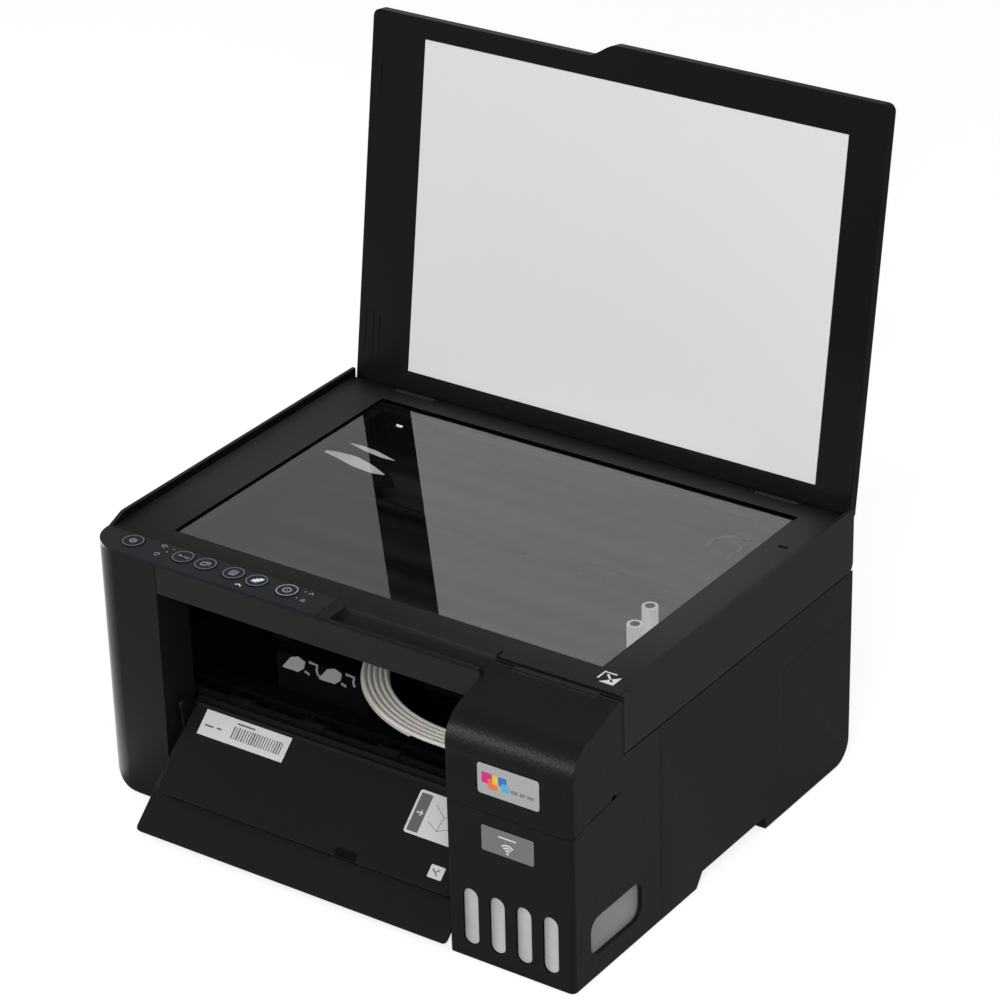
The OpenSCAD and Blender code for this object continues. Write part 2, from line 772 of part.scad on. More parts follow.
module platen() {
    x1 = plate_end_x + 8;
    slots = 10;
    slot_w = 14;
    pitch = (x1 - frame_x0 - 15) / slots;
    color(BLACK) difference() {
        box(frame_x0 + 1.8, x1, exit_roll_d + 8, feed_roll_d - 8, paper_z - 12, paper_z - 2);
        for (i = [0:slots - 1]) {
            x = frame_x0 + 14 + i * pitch;
            box(x, x + slot_w, exit_roll_d + 14, feed_roll_d - 14, paper_z - 5, paper_z);
        }
    }
    // legs down to the floor of the base
    color(BLACK) for (x = [frame_x0 + 8, x1 - 8])
        box(x, x + 6, exit_roll_d + 14, feed_roll_d - 14, base_z + wall + fit, paper_z - 12);
}

module feed_roller() {
    color(STEEL) {
        rod_x(frame_x0 - 4, frame_x1 + 3, feed_roll_d, feed_roll_z, roll_pin_r);
        rod_x(frame_x0 + 12, plate_end_x + 8, feed_roll_d, feed_roll_z, feed_roll_r);
    }
    color(PALE) rod_x(frame_x0 - 7, frame_x0 - 3, feed_roll_d, feed_roll_z, feed_wheel_r);
}

// rubber sleeves of the exit roller, and the star wheels over them
sleeve_x = frame_x0 + 30;
sleeve_w = 16;
sleeve_pitch = (plate_end_x - sleeve_x - sleeve_w - 33) / 3;

module exit_roller() {
    color(STEEL) rod_x(frame_x0 - 4, plate_end_x + 4, exit_roll_d, exit_roll_z, roll_pin_r);
    color(RUBBER) for (i = [0:3])
        rod_x(sleeve_x + i * sleeve_pitch, sleeve_x + sleeve_w + i * sleeve_pitch,
            exit_roll_d, exit_roll_z, exit_roll_r);
    color(PALE) rod_x(frame_x0 - 7, frame_x0 - 3, exit_roll_d, exit_roll_z, exit_wheel_r);
}

module star_wheel_bar() {
    z0 = exit_roll_z + 14;
    color(BLACK) box(frame_x0 + 1.7, plate_end_x, exit_roll_d - 6, exit_roll_d + 6, z0, z0 + 2.5);
    color(PALE) for (i = [0:3]) {
        x = sleeve_x + sleeve_w / 2 + i * sleeve_pitch;
        box(x - 3.4, x - 2.2, exit_roll_d - 4, exit_roll_d + 4, z0 - 6, z0 + EPS);
        box(x + 2.2, x + 3.4, exit_roll_d - 4, exit_roll_d + 4, z0 - 6, z0 + EPS);
        rod_x(x - 2.3, x + 2.3, exit_roll_d, z0 - 5, 2.8);
    }
}

module cap_station() {
    x0 = plate_end_x + 11;
    color(GREY) {
        box(x0, grip_x0 - wall - 1, carr_d0 + 5, carr_d1 - 1, base_z + wall + fit, paper_z - 14);
        box(x0 + 4, x0 + 52, carr_d0 + 9, carr_d1 - 5, paper_z - 14 - EPS, paper_z + 0.8);
    }
}

supply_w = 78;
supply_len = 28.4;
supply_h = 39.3;

module power_supply() {
    x0 = frame_x0 + 10;
    d1 = side_d - 12;
    z0 = base_z + wall + fit;
    color(GREY) box(x0, x0 + supply_w, d1 - supply_len, d1, z0, z0 + supply_h);
}

inlet_w = 24;
inlet_h = 17;
inlet_x = 28 - case_x;
inlet_z = 24;
usb_w = 12;
usb_h = 11;
usb_x = case_x - 46;
usb_z = 26;

module mains_inlet() {
    c = 0.2;
    color(RUBBER) difference() {
        box(inlet_x + c, inlet_x + inlet_w - c, rear_wall_d - 16, rear_wall_d + 0.5, inlet_z + c,
            inlet_z + inlet_h - c);
        box(inlet_x + 3, inlet_x + inlet_w - 3, rear_wall_d - 12, rear_wall_d + 1, inlet_z + 3,
            inlet_z + inlet_h - 3);
    }
    color(STEEL) for (x = [-3, 3])
        box(inlet_x + inlet_w / 2 + x - 0.9, inlet_x + inlet_w / 2 + x + 0.9,
            rear_wall_d - 12, rear_wall_d - 2, inlet_z + 6, inlet_z + inlet_h - 6);
}

module main_board() {
    c = 0.2;
    color(BOARD) box(usb_x - 82, usb_x + 38, rear_wall_d - 42, rear_wall_d - wall - 1, hump_z0 + wall + 3,
        hump_z0 + wall + 4.6);
    color(STEEL) difference() {
        union() {
            box(usb_x + c, usb_x + usb_w - c, rear_wall_d - 18, rear_wall_d + 0.2, usb_z + c,
                usb_z + usb_h - c);
            box(usb_x + c, usb_x + usb_w - c, rear_wall_d - 18, rear_wall_d - wall - 1,
                hump_z0 + wall + 4.6, usb_z + 1);
        }
        box(usb_x + 2, usb_x + usb_w - 2, rear_wall_d - 12, rear_wall_d + 1, usb_z + 2, usb_z + usb_h - 2);
    }
}

// ---- rear paper feeder ----

feed_w = paper_w + 14;
feeder_d0 = rear_wall_d - 23;
feeder_d1 = rear_wall_d;
feeder_top = hump_top + 20;
feeder_x = feed_w / 2 + 7;
groove_z = hump_top + 8;
groove_h = 4;
guard_d = feeder_d0 + 3;
guard_z = feeder_top + 1.6;
guard_pin_r = 1;
support_w = 120;
support_z = 14;
support_t = 3.2;
support_d = rear_wall_d + 0.3;
rail_lip = 1.5;

// the two hooked rails that hold the paper support against the back
module support_rails(z0, z1) {
    for (s = [-1, 1]) along_z(z0, z1) {
        x = s * (support_w / 2 + 0.3);
        translate([min(x, x + s * 3), rear_wall_d - 0.5]) square([3, body_d - rear_wall_d + 0.5]);
        translate([min(x - s * 3.6, x + s), body_d - rail_lip]) square([4.6, rail_lip]);
    }
}

module feeder_housing() {
    color(BLACK) difference() {
        union() {
            box(-feeder_x, feeder_x, feeder_d0, feeder_d1, hump_top, feeder_top);
            support_rails(hump_top + fit, feeder_top);
            for (s = [-1, 1]) along_x(s * (feeder_x - 1.2) - 1.2, s * (feeder_x - 1.2) + 1.2) {
                translate([guard_d, guard_z]) circle(2.6);
                translate([guard_d - 2.6, feeder_top - 1]) square([5.2, guard_z - feeder_top + 1]);
            }
        }
        box(-feed_w / 2, feed_w / 2, feeder_d0 + wall, feeder_d1 - wall, hump_top - 1, feeder_top + 1);
        // grooves that the edge guides slide in
        box(-feed_w / 2, feed_w / 2, feeder_d0 + wall - 1.2, feeder_d1 - wall + 1.2, groove_z,
            groove_z + groove_h);
        rod_x(-feeder_x - 1, feeder_x + 1, guard_d, guard_z, guard_pin_r + run);
    }
}

module feeder_guard() {
    x = feeder_x - 2.4 - 0.4;
    color(BLACK) {
        rod_x(-x, x, guard_d, guard_z, 1.4);
        box(-x, x, guard_d, feeder_d1 - 1, guard_z - 1.2, guard_z + 0.8);
        rod_x(-feeder_x + 0.4, feeder_x - 0.4, guard_d, guard_z, guard_pin_r);
    }
}

module edge_guide(side) {
    inner = side * (paper_w / 2 + 0.4);
    x0 = min(inner, inner + side * 4);
    c = 0.3;
    color(BLACK_TOP) {
        box(x0, x0 + 4, feeder_d0 + wall + c, feeder_d1 - wall - c, hump_top + 4, feeder_top - 0.6);
        box(x0, x0 + 4, feeder_d0 + wall - 1.2 + c, feeder_d1 - wall + 1.2 - c, groove_z + c,
            groove_z + groove_h - c);
    }
}

module edge_guide_left() {
    edge_guide(-1);
}

module edge_guide_right() {
    edge_guide(1);
}

module paper_support() {
    step = 4;
    color(BLACK) {
        box(-support_w / 2, support_w / 2, support_d, body_d - rail_lip - 0.3, support_z,
            support_z + support_len);
        box(-support_w / 2 + step, support_w / 2 - step, support_d, support_d + support_t,
            support_z, support_z + support_len);
    }
}

// ---- output tray ----

tray_d = fascia_d + 3;
ext_x0 = tray_x0 + 40;
ext_x1 = tray_x1 - 40;
ext_len = 150;
ext_c = 0.15;

module output_tray() {
    color(BLACK_TOP) difference() {
        union() {
            box(tray_x0, tray_x1, tray_d, tray_d + tray_len, tray_z + tongue_t, tray_top);
            box(tray_x0 + tongue_w, tray_x1 - tongue_w, tray_d, tray_d + tray_len, tray_z, tray_top);
        }
        // pocket of the extension, wider at the bottom so that it can't lift out
        box(ext_x0, ext_x1, tray_d - 1, tray_d + ext_len, tray_top - 1.1, tray_top + 1);
        box(ext_x0 - 2, ext_x1 + 2, tray_d - 1, tray_d + ext_len, tray_top - 2, tray_top - 1.1);
    }
}

module tray_extension() {
    color(BLACK_TOP) {
        box(ext_x0 + ext_c, ext_x1 - ext_c, tray_d, tray_d + ext_len - 1, tray_top - 2 + ext_c,
            tray_top - ext_c);
        box(ext_x0 - 2 + ext_c, ext_x1 + 2 - ext_c, tray_d + ext_c, tray_d + ext_len - 1,
            tray_top - 2 + ext_c, tray_top - 1.1 - ext_c);
    }
}

// ---- front cover: drawn closed, then swung open ----

cover_x0 = open_x0 + 4;
cover_x1 = tank_x0 - 1.8;
cover_z0 = fascia_z - gap - cover_h;
cover_axis_d = fascia_d + 12.5;
cover_axis_z = cover_z0 + 11.1;
cover_pin_r = 2;
cover_panel_z = cover_z0 + 5.2;
cover_arm_t = 2.5;

module front_cover_shell() {
    d0 = fascia_d;
    d1 = fascia_d + wall;
    color(BLACK) swing(cover_axis_d, cover_axis_z, -cover_open) {
        along_y(d0, d1) translate([cover_x0, cover_z0]) rounded(cover_x1 - cover_x0, cover_h, 3);
        for (x = [cover_x0, cover_x1 - cover_arm_t]) along_x(x, x + cover_arm_t) {
            translate([cover_axis_d, cover_axis_z]) circle(5);
            polygon([[d1 - 1, cover_z0 + 4], [cover_axis_d, cover_axis_z - 5],
                [cover_axis_d, cover_axis_z + 5], [d1 - 1, cover_axis_z + 14]]);
        }
        rod_x(open_x0 - wall + 0.3, cover_x0 + 1, cover_axis_d, cover_axis_z, cover_pin_r);
        rod_x(cover_x1 - 1, tank_x0 + wall - 0.3, cover_axis_d, cover_axis_z, cover_pin_r);
    }
}

module front_cover_panel() {
    d1 = fascia_d + wall;
    color(BLACK_TOP) swing(cover_axis_d, cover_axis_z, -cover_open)
        along_y(d1, d1 + cover_panel_t)
            translate([cover_x0 + 5, cover_panel_z]) rounded(cover_x1 - cover_x0 - 10, cover_panel_h, 5);
}

// ---- scanner unit ----

case_z0 = seam_z + fit;
scan_axis_r = 6;
scan_axis_d = side_d - scan_axis_r;
scan_axis_z = case_z0 + scan_axis_r;
scan_pin_r = 2.2;
ear_x = case_x - 8;
ear_t = 6;
hood_wall_d = tower_d + tower_t + 0.7;
rear_top = deck_z - 4.1;
shadow_t = 1.2;
deck_t = 5;
scoop_d = fascia_d + 9.5;
scoop_z = deck_z + 3.5;
scoop_r = 9;
strip_x0 = -half_w + 173.5;
scoop_x0 = strip_x0 + 9;
lid_axis_z = deck_z + lid_gap - lid_axis_drop;
lid_hinge_x = case_x - 23;
lid_hinge_half = 15;
lid_ear = 3.7;
lid_pin_r = 1.2;
notch_half = lid_hinge_half + lid_ear + 1.3;

// side outline of the case in (depth, z); its lower back edge is round about the lifting axis
module case_side(inset, d0, top) {
    r = scan_axis_r - inset;
    translate([d0 + inset, case_z0 + inset]) square([scan_axis_d - d0 - inset, r + EPS]);
    translate([scan_axis_d, scan_axis_z]) circle(r);
    translate([d0 + inset, scan_axis_z]) square([side_d - inset - d0 - inset, top - scan_axis_z]);
}

module scanner_case() {
    x1 = tank_x0 - gap;
    color(BLACK) difference() {
        union() {
            along_x(-half_w, half_w) case_side(0, panel_d, rear_top);
            along_x(tank_x0 + gap, half_w) case_side(0, hood_wall_d, rear_top);
            box(-half_w, -half_w + wall, panel_d, side_d, scan_axis_z, rim_z);
            box(half_w - wall, half_w, hood_wall_d, side_d, scan_axis_z, rim_z);
            box(-half_w, tank_x0, panel_d - 1, panel_d + wall, case_z0, deck_z - deck_t);
            box(open_x0 + gap, x1, fascia_d, panel_d + 1, fascia_z, deck_z - panel_t);
        }
        box(-half_w - 1, open_x0 + gap, panel_d - 2, panel_d, 0, body_h);
        box(-half_w - 1, half_w - wall, hood_wall_d - 2, panel_d, 0, fascia_z);
        // inside, open at the top
        along_x(-half_w + wall, half_w - wall) case_side(wall, panel_d, body_h);
        along_x(tank_x0 + gap + wall, half_w - wall) case_side(wall, hood_wall_d, body_h);
        box(open_x0 + gap + wall, x1 - wall, fascia_d + wall, panel_d + wall + 1, fascia_z + wall, body_h);
        box(-half_w + wall, half_w - wall, panel_d, side_d + 1, deck_z - deck_t, body_h);
        box(tank_x0 - 1, half_w - wall, hood_wall_d - 1, panel_d + wall + 1, deck_z - deck_t, body_h);
        // room for the scoop's underside
        rod_x(scoop_x0 - 3, x1 + 1, scoop_d, scoop_z, scoop_r + 2);
        // rims rise in a slope behind the panel
        along_x(-half_w - 1, half_w + 1)
            polygon([[0, deck_z], [panel_d, deck_z], [panel_d + rim_run, rim_z], [panel_d + rim_run, body_h],
                     [0, body_h]]);
        // shadow line along the sides' lower edge
        for (s = [-1, 1])
            box(s * (half_w - shadow_t / 2) - shadow_t / 2, s * (half_w - shadow_t / 2) + shadow_t / 2 + EPS,
                0, scan_axis_d, 0, case_z0 + shadow_h);
        // notches of the lid's hinges, and slots of the ears that carry the unit
        for (s = [-1, 1]) {
            box(s * lid_hinge_x - notch_half, s * lid_hinge_x + notch_half, side_d - wall - 1, side_d + 1,
                lid_axis_z - 4, body_h);
            box(s * ear_x - ear_t / 2 - 0.6, s * ear_x + ear_t / 2 + 0.6, scan_axis_d - 8, side_d + 1,
                case_z0 - 1, scan_axis_z + 7);
        }
    }
    // brackets and pins of the lifting hinge
    color(BLACK) for (s = [-1, 1]) {
        for (k = [-1, 1]) {
            x = s * ear_x + k * (ear_t / 2 + 0.6 + 1.25);
            box(x - 1.25, x + 1.25, scan_axis_d - 5, scan_axis_d + 3.4, case_z0 + wall - 0.5,
                scan_axis_z + 5);
        }
        rod_x(s * ear_x - ear_t / 2 - 2, s * ear_x + ear_t / 2 + 2, scan_axis_d, scan_axis_z, scan_pin_r);
    }
}

module scanner_frame() {
    x1 = tank_x0 - gap;
    c = fit;
    gx0 = glass_x - glass_w / 2;
    color(BLACK_TOP) difference() {
        union() {
            box(-half_w + wall + c, half_w - wall - c, panel_d + c, side_d - wall - c,
                deck_z - deck_t + EPS, deck_z);
            box(strip_x0 + c, x1, fascia_d, panel_d + 1, deck_z - panel_t, deck_z);
            box(tank_x0 + gap, half_w - wall - c, hood_wall_d, panel_d + 1, deck_z - deck_t + EPS, deck_z);
            intersection() {
                rod_x(scoop_x0 - 2, x1, scoop_d, scoop_z, scoop_r + 1.8);
                box(-half_w, half_w, fascia_d, panel_d, 0, deck_z);
            }
        }
        box(gx0 - c, gx0 + glass_w + c, glass_d - c, glass_d + glass_len + c, deck_z - glass_t - 0.2,
            deck_z + 1);
        box(gx0 + 3, gx0 + glass_w - 3, glass_d + 3, glass_d + glass_len - 3, deck_z - deck_t - 1, deck_z);
        rod_x(scoop_x0, x1 + 1, scoop_d, scoop_z, scoop_r);
        for (s = [-1, 1])
            box(s * lid_hinge_x - notch_half, s * lid_hinge_x + notch_half, lid_axis_d - 3.6, side_d,
                deck_z - deck_t - 1, deck_z + 1);
    }
}

module scanner_glass() {
    gx0 = glass_x - glass_w / 2;
    color([0.75, 0.8, 0.82, 0.35])
        box(gx0, gx0 + glass_w, glass_d, glass_d + glass_len, deck_z - glass_t - 0.2, deck_z - 0.2);
}

scan_rod_d = 200;
scan_rod_z = deck_z - 21.5;
scan_rod_r = 4;
bar_x = -half_w + wall + 3;
bar_w = 30;

module guide_rod() {
    x = half_w - wall;
    color(STEEL) rod_x(-x + 0.3, x - 0.3, scan_rod_d, scan_rod_z, scan_rod_r);
    // feet that hold its ends
    color(STEEL) for (s = [-1, 1])
        box(s * (x - 1.9) - 1.6, s * (x - 1.9) + 1.6, scan_rod_d - 7, scan_rod_d + 7, case_z0 + wall,
            scan_rod_z + 3);
}

module scan_bar() {
    color(BLACK) difference() {
        union() {
            box(bar_x, bar_x + bar_w, panel_d + 6, side_d - 14, deck_z - 13.5, deck_z - deck_t - 0.6);
            box(bar_x + 5, bar_x + bar_w - 5, scan_rod_d - 8, scan_rod_d + 8, scan_rod_z - 6, deck_z - 13);
        }
        rod_x(bar_x, bar_x + bar_w, scan_rod_d, scan_rod_z, scan_rod_r + run);
    }
    color(PALE) box(bar_x + 11, bar_x + bar_w - 11, panel_d + 12, side_d - 20, deck_z - deck_t - 0.6,
        deck_z - deck_t - 0.3);
}

cable_x = bar_x + 18;
cable_d0 = scan_rod_d + 22;
cable_d1 = side_d - 31.4;
cable_h = 12;
cable_t = 0.6;

// folded flat cable on two clips, between the guide rod and the back of the case
module flat_cable() {
    z0 = case_z0 + wall;
    len = cable_d1 - cable_d0;
    folds = [[0, 0.13], [60, 0], [68, 0.11], [14, 1], [0, 1], [46, 0.2], [0, 0.31]];
    color(PALE) {
        along_z(z0 + cable_h, z0 + cable_h + cable_t)
            polygon([for (p = folds) [cable_x + p[0], cable_d0 + p[1] * len]]);
        along_z(z0, z0 + cable_h) translate([cable_x + 52, cable_d0 + 3]) square([6, 3]);
        along_z(z0, z0 + cable_h) translate([cable_x + 4, cable_d1 - 4]) square([6, 3]);
    }
}

pulley_h = 19.6;
pulley_r = 5;

module belt_pulleys() {
    z0 = case_z0 + wall;
    places = [[half_w - 54.8, scan_rod_d - 49.9], [half_w - 59, scan_rod_d - 27.1]];
    color(PALE) for (p = places) difference() {
        rod_z(p[0], p[1], z0, z0 + pulley_h, pulley_r);
        rod_z(p[0], p[1], z0 + 4, z0 + pulley_h + 1, pulley_r - 2);
    }
}

// ---- control panel ----

button_r = 7.25;
button_d = fascia_d + 14.6;
button_x = [for (x = [25.8, 64.1, 81.1, 102.3, 119.5, 141.9]) x - half_w];
button_top = deck_z + 0.5;
flange_z = deck_z - 1.2;

module control_panel() {
    color(PANEL_BLUE) difference() {
        along_z(deck_z - panel_t, deck_z)
            translate([-half_w, fascia_d]) one_round(strip_x0 + half_w, panel_d - fascia_d, pillar_r);
        for (x = button_x) {
            rod_z(x, button_d, deck_z - panel_t - 1, deck_z + 1, button_r + 0.25);
            rod_z(x, button_d, deck_z - panel_t - 1, deck_z - 1, button_r + 1.1);
        }
    }
}

module panel_board() {
    z0 = deck_z - panel_t - 4.4;
    color(BOARD) {
        box(open_x0 + 6, strip_x0 - 4, fascia_d + 5, panel_d - 2, z0, z0 + 1.6);
        for (x = [open_x0 + 10, strip_x0 - 10]) rod_z(x, fascia_d + 14, fascia_z + wall, z0, 2.5);
        for (i = [1:5]) rod_z(button_x[i], button_d, z0 + 1.6, deck_z - panel_t - 0.4, 3);
    }
}

module button(i) {
    z0 = deck_z - 2;
    color(PANEL_BLUE) {
        rod_z(button_x[i], button_d, z0, button_top, button_r);
        rod_z(button_x[i], button_d, z0, flange_z, button_r + 0.8);
    }
}

module button_power() {
    button(0);
}

module button_wifi() {
    button(1);
}

module button_page() {
    button(2);
}

module button_mono() {
    button(3);
}

module button_colour() {
    button(4);
}

module button_stop() {
    button(5);
}

// ---- lid: drawn closed, then swung open ----

lid_half = half_w - wall - 0.6;
lid_z0 = deck_z + lid_gap;
lid_step_x = strip_x0 - 11;
lid_step_w = 21;
lid_corner = 5;
mat_x0 = glass_x + 1 - mat_w / 2;
mat_d0 = glass_d - mat_lap;
mat_d1 = glass_d + glass_len + 6.4;

module lid_outline() {
    d0 = panel_d - lid_lap;
    d1 = d0 - lid_tab;
    polygon(concat(
        [[-lid_half, lid_axis_d]],
        [for (a = [0:15:90]) [-lid_half + lid_corner * (1 - cos(a)), d0 + lid_corner * (1 - sin(a))]],
        [for (k = [0:12]) let (t = k / 12)
            [lid_step_x + lid_step_w * t, d0 - lid_tab * (3 * t * t - 2 * t * t * t)]],
        [for (a = [90:-15:0]) [lid_half - lid_corner * (1 - cos(a)), d1 + lid_corner * (1 - sin(a))]],
        [[lid_half, lid_axis_d]]));
}

module lid_shell() {
    color(BLACK) swing(lid_axis_d, lid_axis_z, lid_open) {
        difference() {
            along_z(lid_z0, body_h) lid_outline();
            box(mat_x0 - fit, mat_x0 + mat_w + fit, mat_d0 - fit, mat_d1 + fit, lid_z0 - 1, lid_z0 + mat_t);
        }
        for (s = [-1, 1]) {
            for (k = [-1, 1]) {
                x = s * lid_hinge_x + k * (lid_hinge_half + 0.3 + lid_ear / 2);
                along_x(x - lid_ear / 2, x + lid_ear / 2) {
                    translate([lid_axis_d, lid_axis_z]) circle(lid_axis_drop - 0.1);
                    translate([lid_axis_d - 2.8, lid_axis_z]) square([2.8, lid_axis_drop + EPS]);
                }
            }
            rod_x(s * lid_hinge_x - lid_hinge_half - 1, s * lid_hinge_x + lid_hinge_half + 1,
                lid_axis_d, lid_axis_z, lid_pin_r);
        }
    }
}

module lid_mat() {
    color(PALE) swing(lid_axis_d, lid_axis_z, lid_open)
        box(mat_x0, mat_x0 + mat_w, mat_d0, mat_d1, lid_z0, lid_z0 + mat_t);
}

module lid_hinge(x) {
    color(BLACK) difference() {
        union() {
            rod_x(x - lid_hinge_half, x + lid_hinge_half, lid_axis_d, lid_axis_z, 2.4);
            box(x - lid_hinge_half, x + lid_hinge_half, lid_axis_d - 2.4, side_d - wall - fit,
                lid_axis_z - 22, lid_axis_z);
        }
        rod_x(x - lid_hinge_half - 1, x + lid_hinge_half + 1, lid_axis_d, lid_axis_z, lid_pin_r + run);
    }
}

module lid_hinges() {
    for (s = [-1, 1]) lid_hinge(s * lid_hinge_x);
}

base_pan();
left_cover();
right_cover();
corner_panel();
rear_cover();
front_sill();
feet();
case_screws();
tank_housing();
ink_tank_1();
ink_tank_2();
ink_tank_3();
ink_tank_4();
ink_caps();
tank_badge();
type_plate();
tank_cover();
carriage_frame();
carriage_rail();
timing_belt();
carriage_motor();
print_carriage();
carriage_latches();
print_head();
ink_tubes();
platen();
feed_roller();
exit_roller();
star_wheel_bar();
cap_station();
power_supply();
mains_inlet();
main_board();
feeder_housing();
paper_support();
feeder_guard();
edge_guide_left();
edge_guide_right();
output_tray();
tray_extension();
front_cover_shell();
front_cover_panel();
scanner_case();
scanner_frame();
scanner_glass();
guide_rod();
scan_bar();
flat_cable();
belt_pulleys();
control_panel();
panel_board();
button_power();
button_wifi();
button_page();
button_mono();
button_colour();
button_stop();
lid_shell();
lid_mat();
lid_hinges();
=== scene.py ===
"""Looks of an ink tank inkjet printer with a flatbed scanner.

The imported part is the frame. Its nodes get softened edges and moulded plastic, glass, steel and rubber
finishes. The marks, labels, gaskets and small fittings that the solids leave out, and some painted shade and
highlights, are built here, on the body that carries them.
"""

from __future__ import annotations

import json
import logging
import math
from dataclasses import dataclass, field
from enum import Enum
from typing import Callable, Iterable, Sequence

import bmesh
import bpy
from mathutils import Matrix, Vector


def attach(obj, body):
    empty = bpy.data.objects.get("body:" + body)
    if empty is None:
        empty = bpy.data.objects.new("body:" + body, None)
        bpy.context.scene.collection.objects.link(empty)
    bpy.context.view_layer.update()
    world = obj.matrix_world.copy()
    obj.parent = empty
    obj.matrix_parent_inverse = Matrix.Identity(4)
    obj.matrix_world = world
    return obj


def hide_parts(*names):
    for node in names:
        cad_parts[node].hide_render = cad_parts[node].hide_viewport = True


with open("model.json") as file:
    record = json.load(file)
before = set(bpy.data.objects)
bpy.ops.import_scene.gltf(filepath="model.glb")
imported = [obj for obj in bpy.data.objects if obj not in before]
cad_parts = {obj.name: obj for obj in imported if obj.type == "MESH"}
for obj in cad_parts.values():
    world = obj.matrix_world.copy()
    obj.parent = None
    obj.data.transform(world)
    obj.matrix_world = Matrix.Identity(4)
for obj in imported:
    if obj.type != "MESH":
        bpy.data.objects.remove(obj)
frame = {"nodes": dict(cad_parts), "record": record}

LOG = logging.getLogger("printer")
MM = 0.001
HALF_DEPTH = 173.5
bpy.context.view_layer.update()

Point2 = tuple[float, float]
Colour = tuple[float, float, float]
WHITE_LIGHT = (1.0, 1.0, 1.0, 1.0)

NODE_WELD_MM = 0.002
MARK_WELD_MM = 0.0005
FLAT_DEG = 0.4
SMOOTH_DEG = 35.0
EDGE_DEG = 32.0
ROUND_STEPS = 4


def place(x: float, d: float, z: float) -> Vector:
    """Point in metres from a width, a depth behind the tank unit's front, and a height, all in millimetres.

    Args:
        x: Millimetres to the printer's right of its middle.
        d: Millimetres behind the tank unit's front face.
        z: Millimetres above the table.

    Returns:
        The point in the row frame.
    """
    return Vector((x, d - HALF_DEPTH, z)) * MM


def tinted(colour: Colour, factor: float, lift: float = 0.0) -> Colour:
    """A colour times a factor, with a lift added to each part."""
    red, green, blue = (part * factor + lift for part in colour)
    return red, green, blue


def opaque(colour: Colour) -> tuple[float, float, float, float]:
    """A colour with full alpha, as node sockets take it."""
    return *colour, 1.0


# ---- node graphs ----


class Value:
    """A socket that takes part in Python expressions and adds Math nodes for them."""

    def __init__(self, graph: Graph, socket: bpy.types.NodeSocket) -> None:
        """Wraps an output socket of a graph."""
        self.graph = graph
        self.socket = socket

    def math(self, operation: str, *others: Value | float, swap: bool = False) -> Value:
        """Adds a Math node for this value and others.

        Args:
            operation: Name of the Math node's operation.
            others: The remaining operands.
            swap: True if this value is the second operand.

        Returns:
            The node's result.
        """
        operands = [self, *others]
        if swap:
            operands.reverse()
        node = self.graph.add("ShaderNodeMath", {"operation": operation}, dict(enumerate(operands)))
        return Value(self.graph, node.outputs[0])

    def __add__(self, other: Value | float) -> Value:
        """Sum."""
        return self.math("ADD", other)

    def __sub__(self, other: Value | float) -> Value:
        """Difference."""
        return self.math("SUBTRACT", other)

    def __rsub__(self, other: Value | float) -> Value:
        """Difference with this value taken away."""
        return self.math("SUBTRACT", other, swap=True)

    def __mul__(self, other: Value | float) -> Value:
        """Product."""
        return self.math("MULTIPLY", other)

    def __gt__(self, other: Value | float) -> Value:
        """One where this value is the larger."""
        return self.math("GREATER_THAN", other)

    def __lt__(self, other: Value | float) -> Value:
        """One where this value is the smaller."""
        return self.math("LESS_THAN", other)

    def clamp(self) -> Value:
        """This value held between zero and one."""
        held = self.graph.add("ShaderNodeClamp", {}, {"Value": self})
        return Value(self.graph, held.outputs[0])


class Graph:
    """A node tree that is filled one node at a time."""

    def __init__(self, tree: bpy.types.NodeTree) -> None:
        """Keeps the tree that nodes are added to."""
        self.tree = tree

    def add(self, kind: str, settings: dict | None = None, sockets: dict | None = None) -> bpy.types.Node:
        """Adds a node, sets it up, and then feeds its sockets.

        Args:
            kind: Blender's name of the node type.
            settings: Values of the node's own settings, set first.
            sockets: Values or links by input name or number.

        Returns:
            The new node.
        """
        node = self.tree.nodes.new(kind)
        for name, value in (settings or {}).items():
            setattr(node, name, value)
        for name, value in (sockets or {}).items():
            self.feed(node.inputs[name], value)
        return node

    def feed(self, socket: bpy.types.NodeSocket, value: object) -> None:
        """Links a socket to a value's output, or sets it to a constant."""
        if isinstance(value, Value):
            self.tree.links.new(value.socket, socket)
        elif isinstance(value, bpy.types.NodeSocket):
            self.tree.links.new(value, socket)
        else:
            socket.default_value = value

    def out(self, node: bpy.types.Node, name: str | int = 0) -> Value:
        """An output of a node as a value."""
        return Value(self, node.outputs[name])

    def ramp(self, value: Value, stops: Sequence[tuple[float, Colour]]) -> bpy.types.NodeSocket:
        """Turns a value into a colour.

        Args:
            value: The value that runs along the ramp.
            stops: Positions with their colours.

        Returns:
            The ramp's colour socket.
        """
        node = self.add("ShaderNodeValToRGB", {}, {"Fac": value})
        elements = node.color_ramp.elements
        while len(elements) < len(stops):
            elements.new(0.5)
        for element, (position, colour) in zip(elements, stops):
            element.position = position
            element.color = opaque(colour)
        return node.outputs["Color"]

    def own_place(self) -> bpy.types.NodeSocket:
        """The piece's own coordinates, in metres."""
        return self.add("ShaderNodeTexCoord").outputs["Object"]

    def along(self, axis: str) -> Value:
        """The piece's own coordinate along one axis, in metres."""
        return self.out(self.add("ShaderNodeSeparateXYZ", {}, {"Vector": self.own_place()}), axis)

    def principled(
        self, colour: object, roughness: object, others: dict | None = None,
    ) -> bpy.types.NodeSocket:
        """Adds a Principled shader.

        Args:
            colour: Value or link of its base colour.
            roughness: Value or link of its roughness.
            others: Values or links of its other sockets.

        Returns:
            The shader's socket.
        """
        sockets = {"Base Color": colour, "Roughness": roughness, **(others or {})}
        return self.add("ShaderNodeBsdfPrincipled", {}, sockets).outputs[0]


# ---- finishes ----


